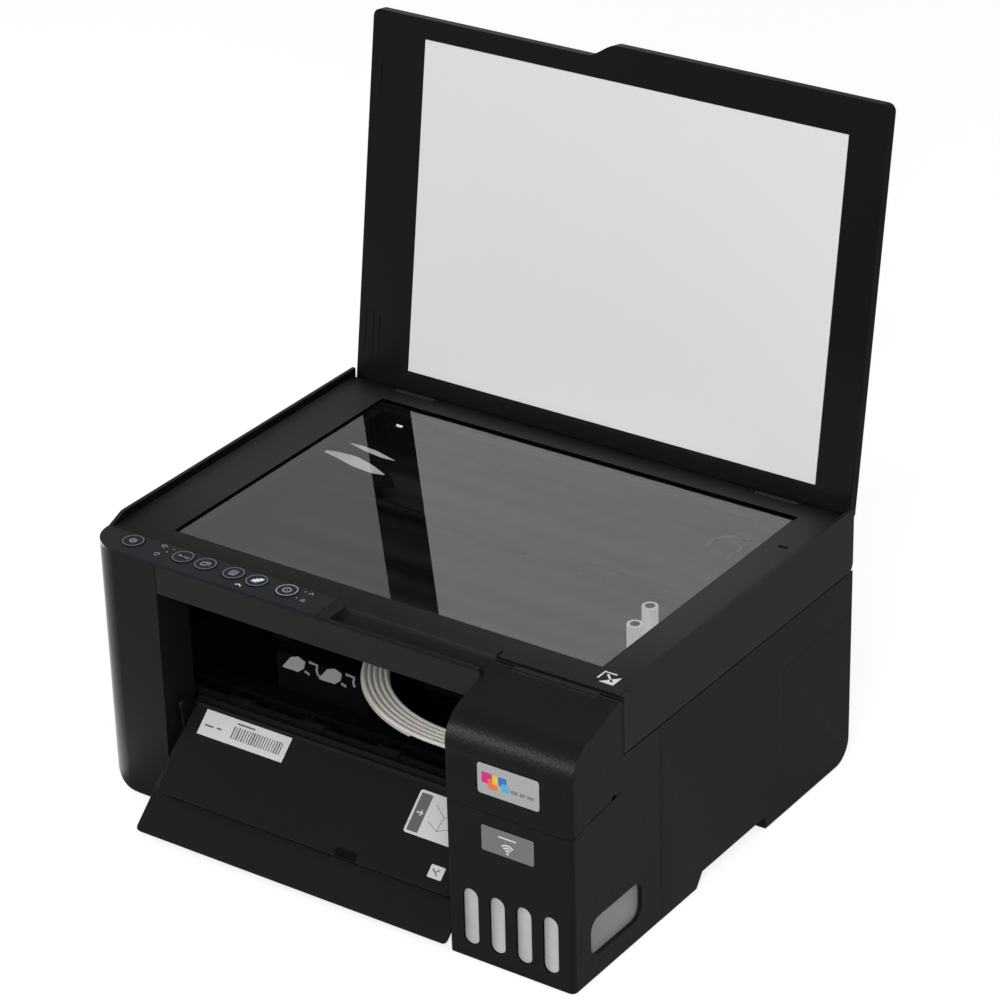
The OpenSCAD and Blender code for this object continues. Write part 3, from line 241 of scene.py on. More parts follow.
@dataclass(frozen=True)
class Finish:
    """A material that is made once, the first time that a piece asks for it."""

    name: str
    colour: Colour
    roughness: float
    slot: str

    def material(self) -> bpy.types.Material:
        """The finish's material, built on first use."""
        name = f"look_{self.name}"
        found = bpy.data.materials.get(name)
        if found is not None:
            return found
        made = bpy.data.materials.new(name)
        made.use_nodes = True
        made.node_tree.nodes.clear()
        graph = Graph(made.node_tree)
        output = graph.add("ShaderNodeOutputMaterial")
        graph.feed(output.inputs["Surface"], self.surface(graph))
        return made

    def noise(self, graph: Graph, per_mm: float, detail: float = 3.0) -> Value:
        """Noise over the piece.

        Args:
            graph: The material's graph.
            per_mm: How many lumps come in a millimetre.
            detail: Octaves of finer noise.

        Returns:
            The noise, about one half in the middle.
        """
        sockets = {"Vector": graph.own_place(), "Scale": per_mm / MM, "Detail": detail}
        return graph.out(graph.add("ShaderNodeTexNoise", {}, sockets))

    def surface(self, graph: Graph) -> bpy.types.NodeSocket:
        """The shader of the finish; each kind of finish has its own."""
        raise NotImplementedError


@dataclass(frozen=True)
class Plastic(Finish):
    """Moulded plastic with an eroded grain, faint dust and slightly uneven gloss."""

    grain_mm: float = 0.5
    grain_depth: float = 0.05
    dust: float = 0.25
    coat: float = 0.0
    specular: float = 0.22
    front_painted_shade: float = 0.0
    fade_from: float = 112.0
    fade_over: float = 75.0
    rear_painted_shade: float = 0.0
    rear_from: float = 113.0
    rear_over: float = 17.0

    def surface(self, graph: Graph) -> bpy.types.NodeSocket:
        """Principled shader with grain in its normal, dust and wear in its colour and gloss, and painted
        shade in its colour towards the front and the rear.
        """
        fine = self.noise(graph, 1 / self.grain_mm, 4.0)
        cells = graph.add(
            "ShaderNodeTexVoronoi", {"feature": "SMOOTH_F1"},
            {"Vector": graph.own_place(), "Scale": 0.8 / (self.grain_mm * MM), "Smoothness": 0.6},
        )
        height = fine * 0.5 + graph.out(cells, "Distance") * 0.5
        bump = graph.add(
            "ShaderNodeBump", {}, {"Strength": 0.55, "Distance": self.grain_depth * MM, "Height": height},
        )
        haze = ((self.noise(graph, 0.02, 5.0) - 0.42) * 2.2).clamp()
        specks = ((self.noise(graph, 0.9, 2.0) - 0.66) * 9.0).clamp()
        worn = (haze * 0.55 + specks * 0.45) * self.dust
        pale, deep = tinted(self.colour, 1.45, 0.004), tinted(self.colour, 0.12)
        # Painted shade: darker towards the front of the top, and darker at the rear where the lid shades the
        # deck.
        painted_shading = self.front_share(graph) * self.front_painted_shade + self.rear_share(graph) * self.rear_painted_shade
        tone = (worn - painted_shading + 1.0) * 0.5
        colour = graph.ramp(tone, [(0.0, deep), (0.5, self.colour), (1.0, pale)])
        rough = worn * 0.12 + fine * 0.06 + (self.roughness - 0.05)
        return graph.principled(colour, rough, {
            "Normal": bump.outputs[0], "IOR": 1.46, "Specular IOR Level": self.specular,
            "Coat Weight": self.coat, "Coat Roughness": 0.08,
        })

    def front_share(self, graph: Graph) -> Value:
        """One at the front of the printer's top, falling to nothing behind its control panel."""
        return 1.0 - ((graph.along("Y") + self.fade_from * MM) * (1 / (self.fade_over * MM))).clamp()

    def rear_share(self, graph: Graph) -> Value:
        """Nothing at the rear edge of the glass, rising to one where the lid shades the deck."""
        return ((graph.along("Y") - self.rear_from * MM) * (1 / (self.rear_over * MM))).clamp()


@dataclass(frozen=True)
class Banded(Finish):
    """Inside floor of the scanner: soft bands along the printer's width."""

    pitch: float = 60.0

    def surface(self, graph: Graph) -> bpy.types.NodeSocket:
        """Matt shader whose colour follows two waves of the depth."""
        phase = graph.along("Y") * (math.tau / (self.pitch * MM))
        wave = phase.math("SINE") * 0.3 + (phase * 2.3 + 1.0).math("SINE") * 0.25
        share = (wave + self.noise(graph, 0.02) * 0.9).clamp()
        colour = graph.ramp(share, [(0.1, tinted(self.colour, 0.18)), (0.9, self.colour)])
        return graph.principled(colour, share * 0.1 + self.roughness, {"Specular IOR Level": 0.05})


@dataclass(frozen=True)
class Milky(Finish):
    """Cloudy plastic that scatters light, with a faint painted glow; in a row, each piece has painted shade
    and is palest to the right of its middle.
    """

    glow: float = 0.0
    row_x: float = 0.0
    pitch: float = 0.0
    palest: float = 0.68
    falloff: float = 2.1

    def surface(self, graph: Graph) -> bpy.types.NodeSocket:
        """Principled shader with soft clouds, painted shade across each piece and a faint painted glow in
        place of light coming through.
        """
        shade = (self.noise(graph, 0.06, 2.0) - 0.3) * 0.5
        if self.pitch:
            # Painted shade across each piece of the row, darkest at its left edge.
            along = (graph.along("X") - self.row_x * MM) * (1 / (self.pitch * MM)) + 0.5
            offset = (along.math("FRACT") - self.palest).math("ABSOLUTE") * self.falloff
            shade = shade + offset * offset
        share = shade.clamp()
        colour = graph.ramp(share, [(0.0, self.colour), (1.0, tinted(self.colour, 0.45))])
        return graph.principled(colour, share * 0.1 + (self.roughness - 0.05), {
            "IOR": 1.48, "Subsurface Weight": 0.25, "Subsurface Scale": 0.004,
            "Emission Color": opaque(self.colour), "Emission Strength": self.glow,
        })


@dataclass(frozen=True)
class Metal(Finish):
    """Rolled or turned steel with fine lines along the printer's width."""

    def surface(self, graph: Graph) -> bpy.types.NodeSocket:
        """Metallic shader with drawn lines in its gloss and normal."""
        stretched = graph.add(
            "ShaderNodeMapping", {}, {"Vector": graph.own_place(), "Scale": (0.02, 1.0, 1.0)},
        )
        lines = graph.out(graph.add(
            "ShaderNodeTexNoise", {}, {"Vector": stretched.outputs[0], "Scale": 2500.0, "Detail": 3.0},
        ))
        bump = graph.add("ShaderNodeBump", {}, {"Strength": 0.3, "Distance": 0.02 * MM, "Height": lines})
        colour = graph.ramp(lines, [(0.2, tinted(self.colour, 0.8)), (0.8, self.colour)])
        rough = lines * 0.15 + (self.roughness - 0.07)
        return graph.principled(colour, rough, {"Metallic": 1.0, "Normal": bump.outputs[0]})


@dataclass(frozen=True)
class ClearGlass(Finish):
    """Float glass: its upper face reflects by the angle for both faces, and the rest is let through."""

    both_faces: float = 2.1

    def surface(self, graph: Graph) -> bpy.types.NodeSocket:
        """Clear shader mixed with a mirror by the angle."""
        smears = ((self.noise(graph, 0.05, 5.0) - 0.5) * 1.5).clamp()
        clear = graph.add("ShaderNodeBsdfTransparent", {}, {"Color": opaque(self.colour)})
        mirror = graph.principled(WHITE_LIGHT, smears * 0.05 + self.roughness, {"Metallic": 1.0})
        angle = graph.out(graph.add("ShaderNodeFresnel", {}, {"IOR": 1.5}))
        share = (angle * self.both_faces).clamp()
        mixed = graph.add("ShaderNodeMixShader", {}, {0: share, 1: clear.outputs[0], 2: mirror})
        return mixed.outputs[0]


@dataclass(frozen=True)
class ClearBack(Finish):
    """Lower face and edges of a pane, which only let light through."""

    def surface(self, graph: Graph) -> bpy.types.NodeSocket:
        """Clear shader with a trace of uneven tint."""
        tint = tinted(self.colour, 0.97)
        colour = graph.ramp(self.noise(graph, 0.03), [(0.3, tint), (0.7, self.colour)])
        return graph.add("ShaderNodeBsdfTransparent", {}, {"Color": colour}).outputs[0]


@dataclass(frozen=True)
class Ink(Finish):
    """Printing on plastic or paper: a flat colour with a little spread in it."""

    glow: float = 0.0

    def surface(self, graph: Graph) -> bpy.types.NodeSocket:
        """Principled shader with a faint mottle."""
        mottle = self.noise(graph, 2.0, 2.0)
        colour = graph.ramp(mottle, [(0.35, tinted(self.colour, 0.88)), (0.65, self.colour)])
        return graph.principled(colour, mottle * 0.1 + (self.roughness - 0.05), {
            "Emission Color": opaque(self.colour), "Emission Strength": self.glow,
        })


@dataclass(frozen=True)
class Board(Finish):
    """Lacquered circuit board with tracks under the lacquer."""

    def surface(self, graph: Graph) -> bpy.types.NodeSocket:
        """Principled shader with a brick pattern as tracks."""
        tracks = graph.add("ShaderNodeTexBrick", {}, {
            "Vector": graph.own_place(), "Scale": 160.0, "Mortar Size": 0.03, "Color1": opaque(self.colour),
            "Color2": opaque(tinted(self.colour, 0.8)), "Mortar": opaque(tinted(self.colour, 2.2)),
        })
        return graph.principled(tracks.outputs["Color"], self.noise(graph, 0.2) * 0.1 + self.roughness)


class Finishes(Enum):
    """The finishes that the printer is made in."""

    CASE = Plastic("case_black", (0.0125, 0.0125, 0.0130), 0.5, "case_black", 0.55, 0.06)
    # The case plastic made darker: painted shade on the base covers, which sit below the scanner case.
    CASE_SHADED = Plastic("case_black_shaded", (0.0068, 0.0068, 0.0072), 0.5, "case_black", 0.55, 0.06, specular=0.20)
    HOOD = Plastic("hood_black", (0.0052, 0.0052, 0.0057), 0.36, "case_black", 1.5, 0.26, 0.2, specular=0.19)
    # The deck's colour holds painted shade: darker towards the front, and behind the glass where the lid
    # shades it.
    DECK = Plastic(
        "deck_black", (0.0225, 0.0225, 0.0235), 0.5, "top_black", 0.5, 0.05, front_painted_shade=0.95, rear_painted_shade=0.9,
    )
    INNER = Plastic("inner_black", (0.0052, 0.0052, 0.0057), 0.45, "case_black", 0.7, 0.03, 0.2, 0.0, 0.14)
    # Near-black, darker than any of the plastics: painted shade for the parts and faces in the printer's
    # hollows, and for its slots, vents, grooves, bores and catch.
    SHADE_BLACK = Plastic("painted_shade_black", (0.0022, 0.0022, 0.0024), 0.6, "case_black", 0.7, 0.02, 0.3, 0.0, 0.05)
    LID_FACE = Plastic("lid_black", (0.0040, 0.0040, 0.0043), 0.45, "case_black", 0.6, 0.03, 0.2, 0.0, 0.09)
    PANEL = Plastic("panel_black", (0.0055, 0.0064, 0.0095), 0.36, "panel_black", 0.3, 0.01, 0.15, 0.08, 0.20)
    # Near-black strips by the glass: the gasket, and painted shadow of the step at the glass's edge.
    GASKET_SHADOW = Plastic("gasket_shadow_black", (0.0010, 0.0010, 0.0011), 0.75, "rubber", 0.4, 0.02, 0.1, specular=0.0)
    RUBBER = Plastic("rubber_black", (0.009, 0.009, 0.009), 0.7, "rubber", 0.4, 0.05, 0.3, 0.0, 0.1)
    # Pale grey of the latch levers, partly painted highlights on the latches.
    LEVER_GLINT = Plastic("lever_glint_grey", (0.24, 0.24, 0.24), 0.5, "grey_plastic", 0.8, 0.04, 0.6)
    GREY = Plastic("grey_plastic", (0.20, 0.20, 0.205), 0.42, "grey_plastic", 0.4, 0.03)
    WHITE = Plastic("white_plastic", (0.72, 0.72, 0.71), 0.42, "white_plastic", 0.4, 0.02, 0.05)
    MAT = Plastic("mat_white", (0.655, 0.655, 0.655), 0.6, "white_plastic", 1.5, 0.004, 0.02)
    # Tank windows: painted shade across each tank, and a faint painted glow.
    TANK = Milky("tank_plastic", (0.49, 0.49, 0.49), 0.32, "tank_plastic", 0.03, 116.95, 18.3)
    # Tank plastic made darker: painted shade on the tank's side seen through the side window.
    SHADED_TANK_SIDE = Milky("shaded_tank_side", (0.25, 0.25, 0.25), 0.35, "tank_plastic", 0.0)
    FLOOR = Banded("floor_black", (0.075, 0.075, 0.077), 0.6, "case_black")
    # White with an emission glow, which is painted light: the pulleys and the cable's highlights under the
    # glass.
    GLOWING_WHITE = Ink("glowing_white", (0.80, 0.80, 0.79), 0.4, "white_plastic", 0.45)
    # A faint painted glow in the tubes.
    TUBE = Milky("tube_plastic", (0.60, 0.585, 0.54), 0.28, "tank_plastic", 0.02)
    STEEL = Metal("plain_steel", (0.50, 0.51, 0.53), 0.36, "steel")
    ROD = Metal("dark_steel", (0.035, 0.035, 0.037), 0.42, "steel")
    GLASS = ClearGlass("bed_glass", (0.93, 0.95, 0.95), 0.015, "glass")
    GLASS_BACK = ClearBack("bed_glass_back", (0.96, 0.97, 0.97), 0.0, "glass")
    BOARD = Board("green_board", (0.02, 0.09, 0.045), 0.3, "board_green")
    PAPER = Ink("label_paper", (0.60, 0.60, 0.60), 0.5, "white_plastic")
    PRINT = Ink("label_print", (0.10, 0.10, 0.105), 0.5, "white_plastic")
    BADGE = Ink("badge_face", (0.385, 0.385, 0.39), 0.35, "white_plastic")
    PLATE = Ink("plate_face", (0.165, 0.165, 0.17), 0.4, "grey_plastic")
    MARK = Ink("panel_mark", (0.30, 0.32, 0.37), 0.4, "panel_black")
    MARK_FAINT = Ink("panel_mark_faint", (0.125, 0.135, 0.16), 0.4, "panel_black")
    MARK_BRIGHT = Ink("panel_mark_bright", (0.62, 0.72, 0.88), 0.4, "panel_black", 0.2)
    MAGENTA = Ink("ink_magenta", (0.60, 0.02, 0.20), 0.35, "tank_plastic")
    ORANGE = Ink("ink_orange", (0.75, 0.18, 0.05), 0.35, "tank_plastic")
    YELLOW = Ink("ink_yellow", (0.78, 0.52, 0.06), 0.35, "tank_plastic")
    BLUE = Ink("ink_blue", (0.03, 0.16, 0.52), 0.35, "tank_plastic")
    CYAN = Ink("ink_cyan", (0.08, 0.42, 0.62), 0.35, "tank_plastic")


# ---- pieces ----


@dataclass
class Piece:
    """A finished mesh that rides on one body."""

    name: str
    body: str
    finish: Finishes
    replaced: tuple[str, ...] = ()

    def settle(self, obj: bpy.types.Object) -> bpy.types.Object:
        """Names, paints and fastens a mesh object.

        Args:
            obj: The object that holds the piece's mesh.

        Returns:
            The same object.
        """
        obj.name = self.name
        obj.data.name = self.name
        obj.data.materials.clear()
        obj.data.materials.append(self.finish.value.material())
        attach(obj, self.body)
        if self.replaced:
            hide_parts(*self.replaced)
        LOG.info("piece %s on %s: %d faces", self.name, self.body, len(obj.data.polygons))
        return obj

    def from_bmesh(self, bm: bmesh.types.BMesh) -> bpy.types.Object:
        """Turns a shape in the row frame into the piece, and keeps its sharp edges sharp.

        Args:
            bm: The shape, which is freed.

        Returns:
            The new object.
        """
        mesh = bpy.data.meshes.new(self.name)
        bm.to_mesh(mesh)
        bm.free()
        mesh.shade_smooth()
        mesh.set_sharp_from_angle(angle=math.radians(SMOOTH_DEG))
        obj = bpy.data.objects.new(self.name, mesh)
        bpy.context.scene.collection.objects.link(obj)
        return self.settle(obj)


BODIES = frame["record"]["behaviour"]["bodies"]
BODY_OF_NODE = {node: body for body, nodes in BODIES.items() for node in nodes}


@dataclass(frozen=True)
class Softened:
    """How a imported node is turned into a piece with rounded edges."""

    finish: Finishes
    edge_mm: float = 0.5
    segments: int = 2

    def build(self, node: str) -> bpy.types.Object:
        """Copies a node, merges its faces, and rounds its edges.

        Args:
            node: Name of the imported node.

        Returns:
            The piece that stands for the node.
        """
        bm = bmesh.new()
        bm.from_mesh(frame["nodes"][node].data)
        bmesh.ops.remove_doubles(bm, verts=bm.verts, dist=NODE_WELD_MM * MM)
        bmesh.ops.dissolve_limit(bm, angle_limit=math.radians(FLAT_DEG), verts=bm.verts, edges=bm.edges)
        obj = Piece(f"{node}_skin", BODY_OF_NODE[node], self.finish, (node,)).from_bmesh(bm)
        if self.edge_mm > 0:
            bevel = obj.modifiers.new("edges", "BEVEL")
            bevel.width = self.edge_mm * MM
            bevel.segments = self.segments
            bevel.limit_method = "ANGLE"
            bevel.angle_limit = math.radians(EDGE_DEG)
            bevel.harden_normals = True
            bevel.use_clamp_overlap = True
        return obj


def repaint(node: str, finish: Finishes, chosen: Callable[[Vector, Vector], bool]) -> None:
    """Gives some faces of a dressed node another finish.

    Args:
        node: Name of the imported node.
        finish: The finish for the chosen faces.
        chosen: Tells from a face's normal, and its middle as width, depth and height in millimetres.
    """
    mesh = bpy.data.objects[f"{node}_skin"].data
    mesh.materials.append(finish.value.material())
    index = len(mesh.materials) - 1
    for face in mesh.polygons:
        middle = face.center / MM + Vector((0, HALF_DEPTH, 0))
        if chosen(middle, face.normal):
            face.material_index = index


# ---- shapes that repeat or follow a path ----


class PieceTree:
    """Geometry Nodes that turn a mesh and some lengths into painted geometry."""

    def __init__(self, name: str, lengths: Sequence[str]) -> None:
        """Starts the tree with its inputs and its output.

        Args:
            name: Name of the node group.
            lengths: Names of its inputs in metres.
        """
        self.tree = bpy.data.node_groups.new(name, "GeometryNodeTree")
        sockets = self.tree.interface.new_socket
        kinds = {"Geometry": "Geometry", **dict.fromkeys(lengths, "Float"), "Material": "Material"}
        for label, kind in kinds.items():
            sockets(label, in_out="INPUT", socket_type=f"NodeSocket{kind}")
        sockets("Geometry", in_out="OUTPUT", socket_type="NodeSocketGeometry")
        self.graph = Graph(self.tree)
        self.given = self.graph.add("NodeGroupInput").outputs

    def hand_out(self, shape: bpy.types.NodeSocket) -> None:
        """Realizes the instances of a shape, paints it, and links it to the output."""
        real = self.graph.add("GeometryNodeRealizeInstances", {}, {0: shape})
        sockets = {"Geometry": real.outputs[0], "Material": self.given["Material"]}
        painted = self.graph.add("GeometryNodeSetMaterial", {}, sockets)
        self.graph.add("NodeGroupOutput", {}, {"Geometry": painted.outputs[0]})


class RibbonTree(PieceTree):
    """Runs a flat section along the edges of a mesh."""

    def __init__(self) -> None:
        """Builds the tree once."""
        super().__init__("ribbon_path", ("Width", "Thickness"))
        add = self.graph.add
        curve = add("GeometryNodeMeshToCurve", {}, {"Mesh": self.given["Geometry"]})
        steady = add("GeometryNodeSetCurveNormal", {"mode": "Z_UP"}, {"Curve": curve.outputs[0]})
        section = add("GeometryNodeCurvePrimitiveQuadrilateral", {"mode": "RECTANGLE"}, {
            "Width": self.given["Width"], "Height": self.given["Thickness"]})
        swept = add("GeometryNodeCurveToMesh", {}, {
            "Curve": steady.outputs[0], "Profile Curve": section.outputs[0], "Fill Caps": True})
        self.hand_out(swept.outputs[0])


class BarTree(PieceTree):
    """Sets out a bar of uneven width on each point of a mesh."""

    def __init__(self) -> None:
        """Builds the tree once."""
        super().__init__("bar_row", ("Narrowest", "Widest", "Length", "Thickness"))
        add = self.graph.add
        width = add("FunctionNodeRandomValue", {"data_type": "FLOAT"}, {
            2: self.given["Narrowest"], 3: self.given["Widest"], "Seed": 4})
        size = add("ShaderNodeCombineXYZ", {}, {
            "X": width.outputs[1], "Y": self.given["Length"], "Z": self.given["Thickness"]})
        bar = add("GeometryNodeMeshCube", {}, {"Size": (1.0, 1.0, 1.0)})
        placed = add("GeometryNodeInstanceOnPoints", {}, {
            "Points": self.given["Geometry"], "Instance": bar.outputs[0], "Scale": size.outputs[0]})
        self.hand_out(placed.outputs[0])


def run_tree(tree: bpy.types.NodeTree, mesh: bpy.types.Mesh, inputs: dict[str, object]) -> bpy.types.Mesh:
    """Runs a node group on a mesh and returns the result as a plain mesh.

    Args:
        tree: The node group.
        mesh: The mesh that it starts from.
        inputs: Values by input name.

    Returns:
        The evaluated mesh.
    """
    carrier = bpy.data.objects.new("carrier", mesh)
    bpy.context.scene.collection.objects.link(carrier)
    modifier = carrier.modifiers.new("tree", "NODES")
    modifier.node_group = tree
    keys = {i.name: i.identifier for i in tree.interface.items_tree if i.in_out == "INPUT"}
    for name, value in inputs.items():
        modifier[keys[name]] = value
    result = bpy.data.meshes.new_from_object(carrier.evaluated_get(bpy.context.evaluated_depsgraph_get()))
    carrier.modifiers.remove(modifier)
    bpy.data.objects.remove(carrier)
    return result


@dataclass(frozen=True)
class Plane:
    """A flat place on a body of the printer that marks are laid out on, in millimetres."""

    body: str
    origin: Vector
    across: Vector
    up: Vector

    def at(self, u: float, v: float, out: float = 0.0) -> Vector:
        """A point on the plane, or a distance out from it.

        Args:
            u: Millimetres across.
            v: Millimetres up.
            out: Millimetres out of the plane.

        Returns:
            The point in the row frame, in metres.
        """
        return self.origin + (self.across * u + self.up * v + self.normal * out) * MM

    @property
    def normal(self) -> Vector:
        """The direction that the plane faces."""
        return self.across.cross(self.up).normalized()

    @property
    def matrix(self) -> Matrix:
        """Turns the plane's own coordinates, in metres, into the row frame."""
        turn = Matrix((self.across, self.up, self.normal)).transposed().to_4x4()
        return Matrix.Translation(self.origin) @ turn


def level(body: str, z: float, x: float = 0.0, d: float = 0.0) -> Plane:
    """A level plane on a body that faces up, with its origin at a place in millimetres."""
    return Plane(body, place(x, d, z), Vector((1, 0, 0)), Vector((0, 1, 0)))


def upright(body: str, d: float, x: float = 0.0, z: float = 0.0, rear: bool = False) -> Plane:
    """An upright plane on a body that faces the front or the rear, with its origin at a place."""
    return Plane(body, place(x, d, z), Vector((-1 if rear else 1, 0, 0)), Vector((0, 0, 1)))


class Marker:
    """Draws strokes, bars and patches on planes of the printer."""

    def __init__(self) -> None:
        """Builds the trees that strokes and bars come from."""
        self.ribbon = RibbonTree().tree
        self.bars = BarTree().tree

    def strokes(
        self, name: str, finish: Finishes, plane: Plane,
        lines: Iterable[Sequence[Point2]], width: float, height: float,
    ) -> None:
        """Flat strokes along polylines.

        Args:
            name: Name of the piece.
            finish: Its finish.
            plane: Where the strokes lie.
            lines: Polylines on the plane, in millimetres.
            width: Width of a stroke.
            height: How far a stroke stands out.
        """
        verts: list[Vector] = []
        edges: list[tuple[int, int]] = []
        for line in lines:
            first = len(verts)
            verts += [Vector((u, v, height / 2)) * MM for u, v in line]
            edges += [(first + i, first + i + 1) for i in range(len(line) - 1)]
        sizes = {"Width": width, "Thickness": height}
        self.spread(Piece(name, plane.body, finish), plane, self.ribbon, (verts, edges), sizes)

    def bar_row(
        self, name: str, finish: Finishes, plane: Plane, centres: Sequence[Point2],
        widths: tuple[float, float], length: float, height: float,
    ) -> None:
        """Bars of uneven width.

        Args:
            name: Name of the piece.
            finish: Its finish.
            plane: Where the bars lie.
            centres: The bars' middles on the plane, in millimetres.
            widths: Narrowest and widest bar.
            length: Length of every bar.
            height: How far a bar stands out.
        """
        points = [Vector((u, v, height / 2)) * MM for u, v in centres]
        sizes = {"Narrowest": widths[0], "Widest": widths[1], "Length": length, "Thickness": height}
        self.spread(Piece(name, plane.body, finish), plane, self.bars, (points, []), sizes)

    def patch(
        self, name: str, finish: Finishes, plane: Plane,
        corners: Sequence[Point2], thickness: float, corner_mm: float = 0.0,
    ) -> None:
        """A thin flat patch such as a label.

        Args:
            name: Name of the piece.
            finish: Its finish.
            plane: Where the patch lies.
            corners: Its outline on the plane, in millimetres, anticlockwise.
            thickness: How far it stands out.
            corner_mm: How far its rounding reaches from each corner.
        """
        bm = bmesh.new()
        outline = rounded_outline(corners, corner_mm)
        low = [bm.verts.new(plane.at(u, v, 0.0)) for u, v in outline]
        high = [bm.verts.new(plane.at(u, v, thickness)) for u, v in outline]
        bm.faces.new(high)
        bm.faces.new(list(reversed(low)))
        for i, vert in enumerate(low):
            j = (i + 1) % len(low)
            bm.faces.new((vert, low[j], high[j], high[i]))
        Piece(name, plane.body, finish).from_bmesh(bm)

    def spread(
        self, piece: Piece, plane: Plane, tree: bpy.types.NodeTree,
        start: tuple[list, list], sizes: dict[str, float],
    ) -> None:
        """Runs a tree on points and edges, and lays the result on a plane as a piece.

        Args:
            piece: The piece to make.
            plane: Where it lies.
            tree: The node group.
            start: Points in metres on the plane, and the edges between them.
            sizes: The tree's lengths in millimetres, by input name.
        """
        mesh = bpy.data.meshes.new(piece.name)
        mesh.from_pydata(*start, [])
        inputs = {name: size * MM for name, size in sizes.items()}
        flat = run_tree(tree, mesh, {**inputs, "Material": piece.finish.value.material()})
        flat.transform(plane.matrix)
        bm = bmesh.new()
        bm.from_mesh(flat)
        bmesh.ops.remove_doubles(bm, verts=bm.verts, dist=MARK_WELD_MM * MM)
        bmesh.ops.recalc_face_normals(bm, faces=bm.faces)
        piece.from_bmesh(bm)


def rounded_outline(corners: Sequence[Point2], radius: float) -> list[Point2]:
    """An outline with each corner rounded by a short curve.

    Args:
        corners: The corners, in order.
        radius: How far the rounding reaches from a corner; none if it is zero.

    Returns:
        The outline's points.
    """
    if radius <= 0:
        return list(corners)
    points: list[Point2] = []
    for i, here in enumerate(corners):
        corner = Vector(here)
        back = (Vector(corners[i - 1]) - corner).normalized() * radius
        ahead = (Vector(corners[(i + 1) % len(corners)]) - corner).normalized() * radius
        for step in range(ROUND_STEPS + 1):
            share = step / ROUND_STEPS
            point = corner + back * (1 - share) ** 2 + ahead * share**2
            points.append((point.x, point.y))
    return points


def arc(centre: Point2, radius: float, start: float, end: float, steps: int = 16) -> list[Point2]:
    """Points along an arc, with its ends in degrees."""
    turns = [math.radians(start + (end - start) * i / steps) for i in range(steps + 1)]
    return [(centre[0] + radius * math.cos(t), centre[1] + radius * math.sin(t)) for t in turns]


def rectangle(u0: float, v0: float, u1: float, v1: float) -> list[Point2]:
    """The corners of a rectangle, anticlockwise."""
    return [(u0, v0), (u1, v0), (u1, v1), (u0, v1)]


# ---- sub-assemblies ----


@dataclass
class Assembly:
    """A group of nodes with their finishes, and the marks and fittings on them."""

    marker: Marker
    skins: dict[str, Softened] = field(default_factory=dict)

    def dress(self) -> None:
        """Builds a softened piece for each node of the group."""
        for node, softened in self.skins.items():
            softened.build(node)

    def build(self) -> None:
        """Builds the group; groups with marks of their own add them."""
        self.dress()


@dataclass
class BaseCovers(Assembly):
    """Outer covers of the base, with its feet and screws."""

    def __post_init__(self) -> None:
        """Sets the finish of each cover."""
        # The covers take the darker copy of the case plastic, as painted shade.
        cover = Softened(Finishes.CASE_SHADED, 0.7, 3)
        self.skins = {
            "base_pan": Softened(Finishes.INNER, 0.3),
            "left_cover": cover,
            "right_cover": cover,
            "corner_panel": Softened(Finishes.CASE_SHADED, 0.35),
            "rear_cover": cover,
            "front_sill": Softened(Finishes.INNER, 0.5),
            "feet": Softened(Finishes.RUBBER, 0.4),
            "case_screws": Softened(Finishes.STEEL, 0.2),
        }


@dataclass
class TankUnit(Assembly):
    """Ink tanks with their housing, cover and badges."""

    badge_middle: Point2 = (145.6, 127.3)
    plate_middle: Point2 = (144.2, 88.15)
    plate_t: float = 0.6
    tile: float = 6.4
    boss_x: float = 180.9
    cap_x: tuple[float, ...] = (135.25, 153.55, 171.85)

    def __post_init__(self) -> None:
        """Sets the finish of each piece of the unit."""
        tank = Softened(Finishes.TANK, 0.5)
        self.skins = {
            "tank_housing": Softened(Finishes.HOOD, 0.6, 3),
            "tank_cover": Softened(Finishes.HOOD, 0.6, 3),
            "ink_caps": Softened(Finishes.RUBBER, 0.3),
            "tank_badge": Softened(Finishes.BADGE, 0.25),
            "type_plate": Softened(Finishes.PLATE, 0.25),
            **{f"ink_tank_{i}": tank for i in range(1, 5)},
        }

    def build(self) -> None:
        """Builds the unit and what is printed on its badge and plate."""
        self.dress()
        # Painted shade on the side of the last tank, behind the side window.
        repaint("ink_tank_4", Finishes.SHADED_TANK_SIDE, lambda m, n: m.x > self.boss_x)
        for x, ink in zip(self.cap_x, (Finishes.CYAN, Finishes.MAGENTA, Finishes.YELLOW)):
            repaint("ink_caps", ink, lambda m, n, x=x: abs(m.x - x) < 4 and n.z > 0.9)
        self.badge_tiles()
        self.plate_waves()

    def badge_tiles(self) -> None:
        """Overlapping coloured tiles and plain grey dashes on the badge."""
        face = upright("tank_cover", -self.plate_t)
        x, z = self.badge_middle
        tiles = (
            ("magenta", Finishes.MAGENTA, -17.8, 1.2, 1.1), ("orange", Finishes.ORANGE, -13.6, -2.0, 1.0),
            ("yellow", Finishes.YELLOW, -10.4, 1.4, 0.9), ("blue", Finishes.BLUE, -6.6, 1.6, 0.9),
            ("cyan", Finishes.CYAN, -4.4, -1.8, 0.8),
        )
        for i, (name, ink, u, v, share) in enumerate(tiles):
            side = self.tile * share
            corners = rectangle(x + u, z + v - side / 2, x + u + side, z + v + side / 2)
            self.marker.patch(f"badge_{name}", ink, face, corners, 0.05 + i * 0.01, 0.9)
        dashes = [[(x + a, z - 2.6), (x + b, z - 2.6)] for a, b in ((1.8, 6.6), (8.0, 11.4), (12.8, 17.4))]
        self.marker.strokes("badge_bar", Finishes.GREY, face, dashes, 2.2, 0.05)

    def plate_waves(self) -> None:
        """A plain bar on the plate, over a generic radio mark of a dot and arcs."""
        x, z = self.plate_middle
        low = (x, z - 5.6)
        lines = [arc(low, r, 45, 135) for r in (2.0, 3.7, 5.4)]
        lines += [arc(low, 0.4, 0, 360, 8), [(x - 6.0, z + 4.0), (x + 6.0, z + 4.0)]]
        self.marker.strokes("plate_waves", Finishes.WHITE, upright("base", -self.plate_t), lines, 0.8, 0.04)


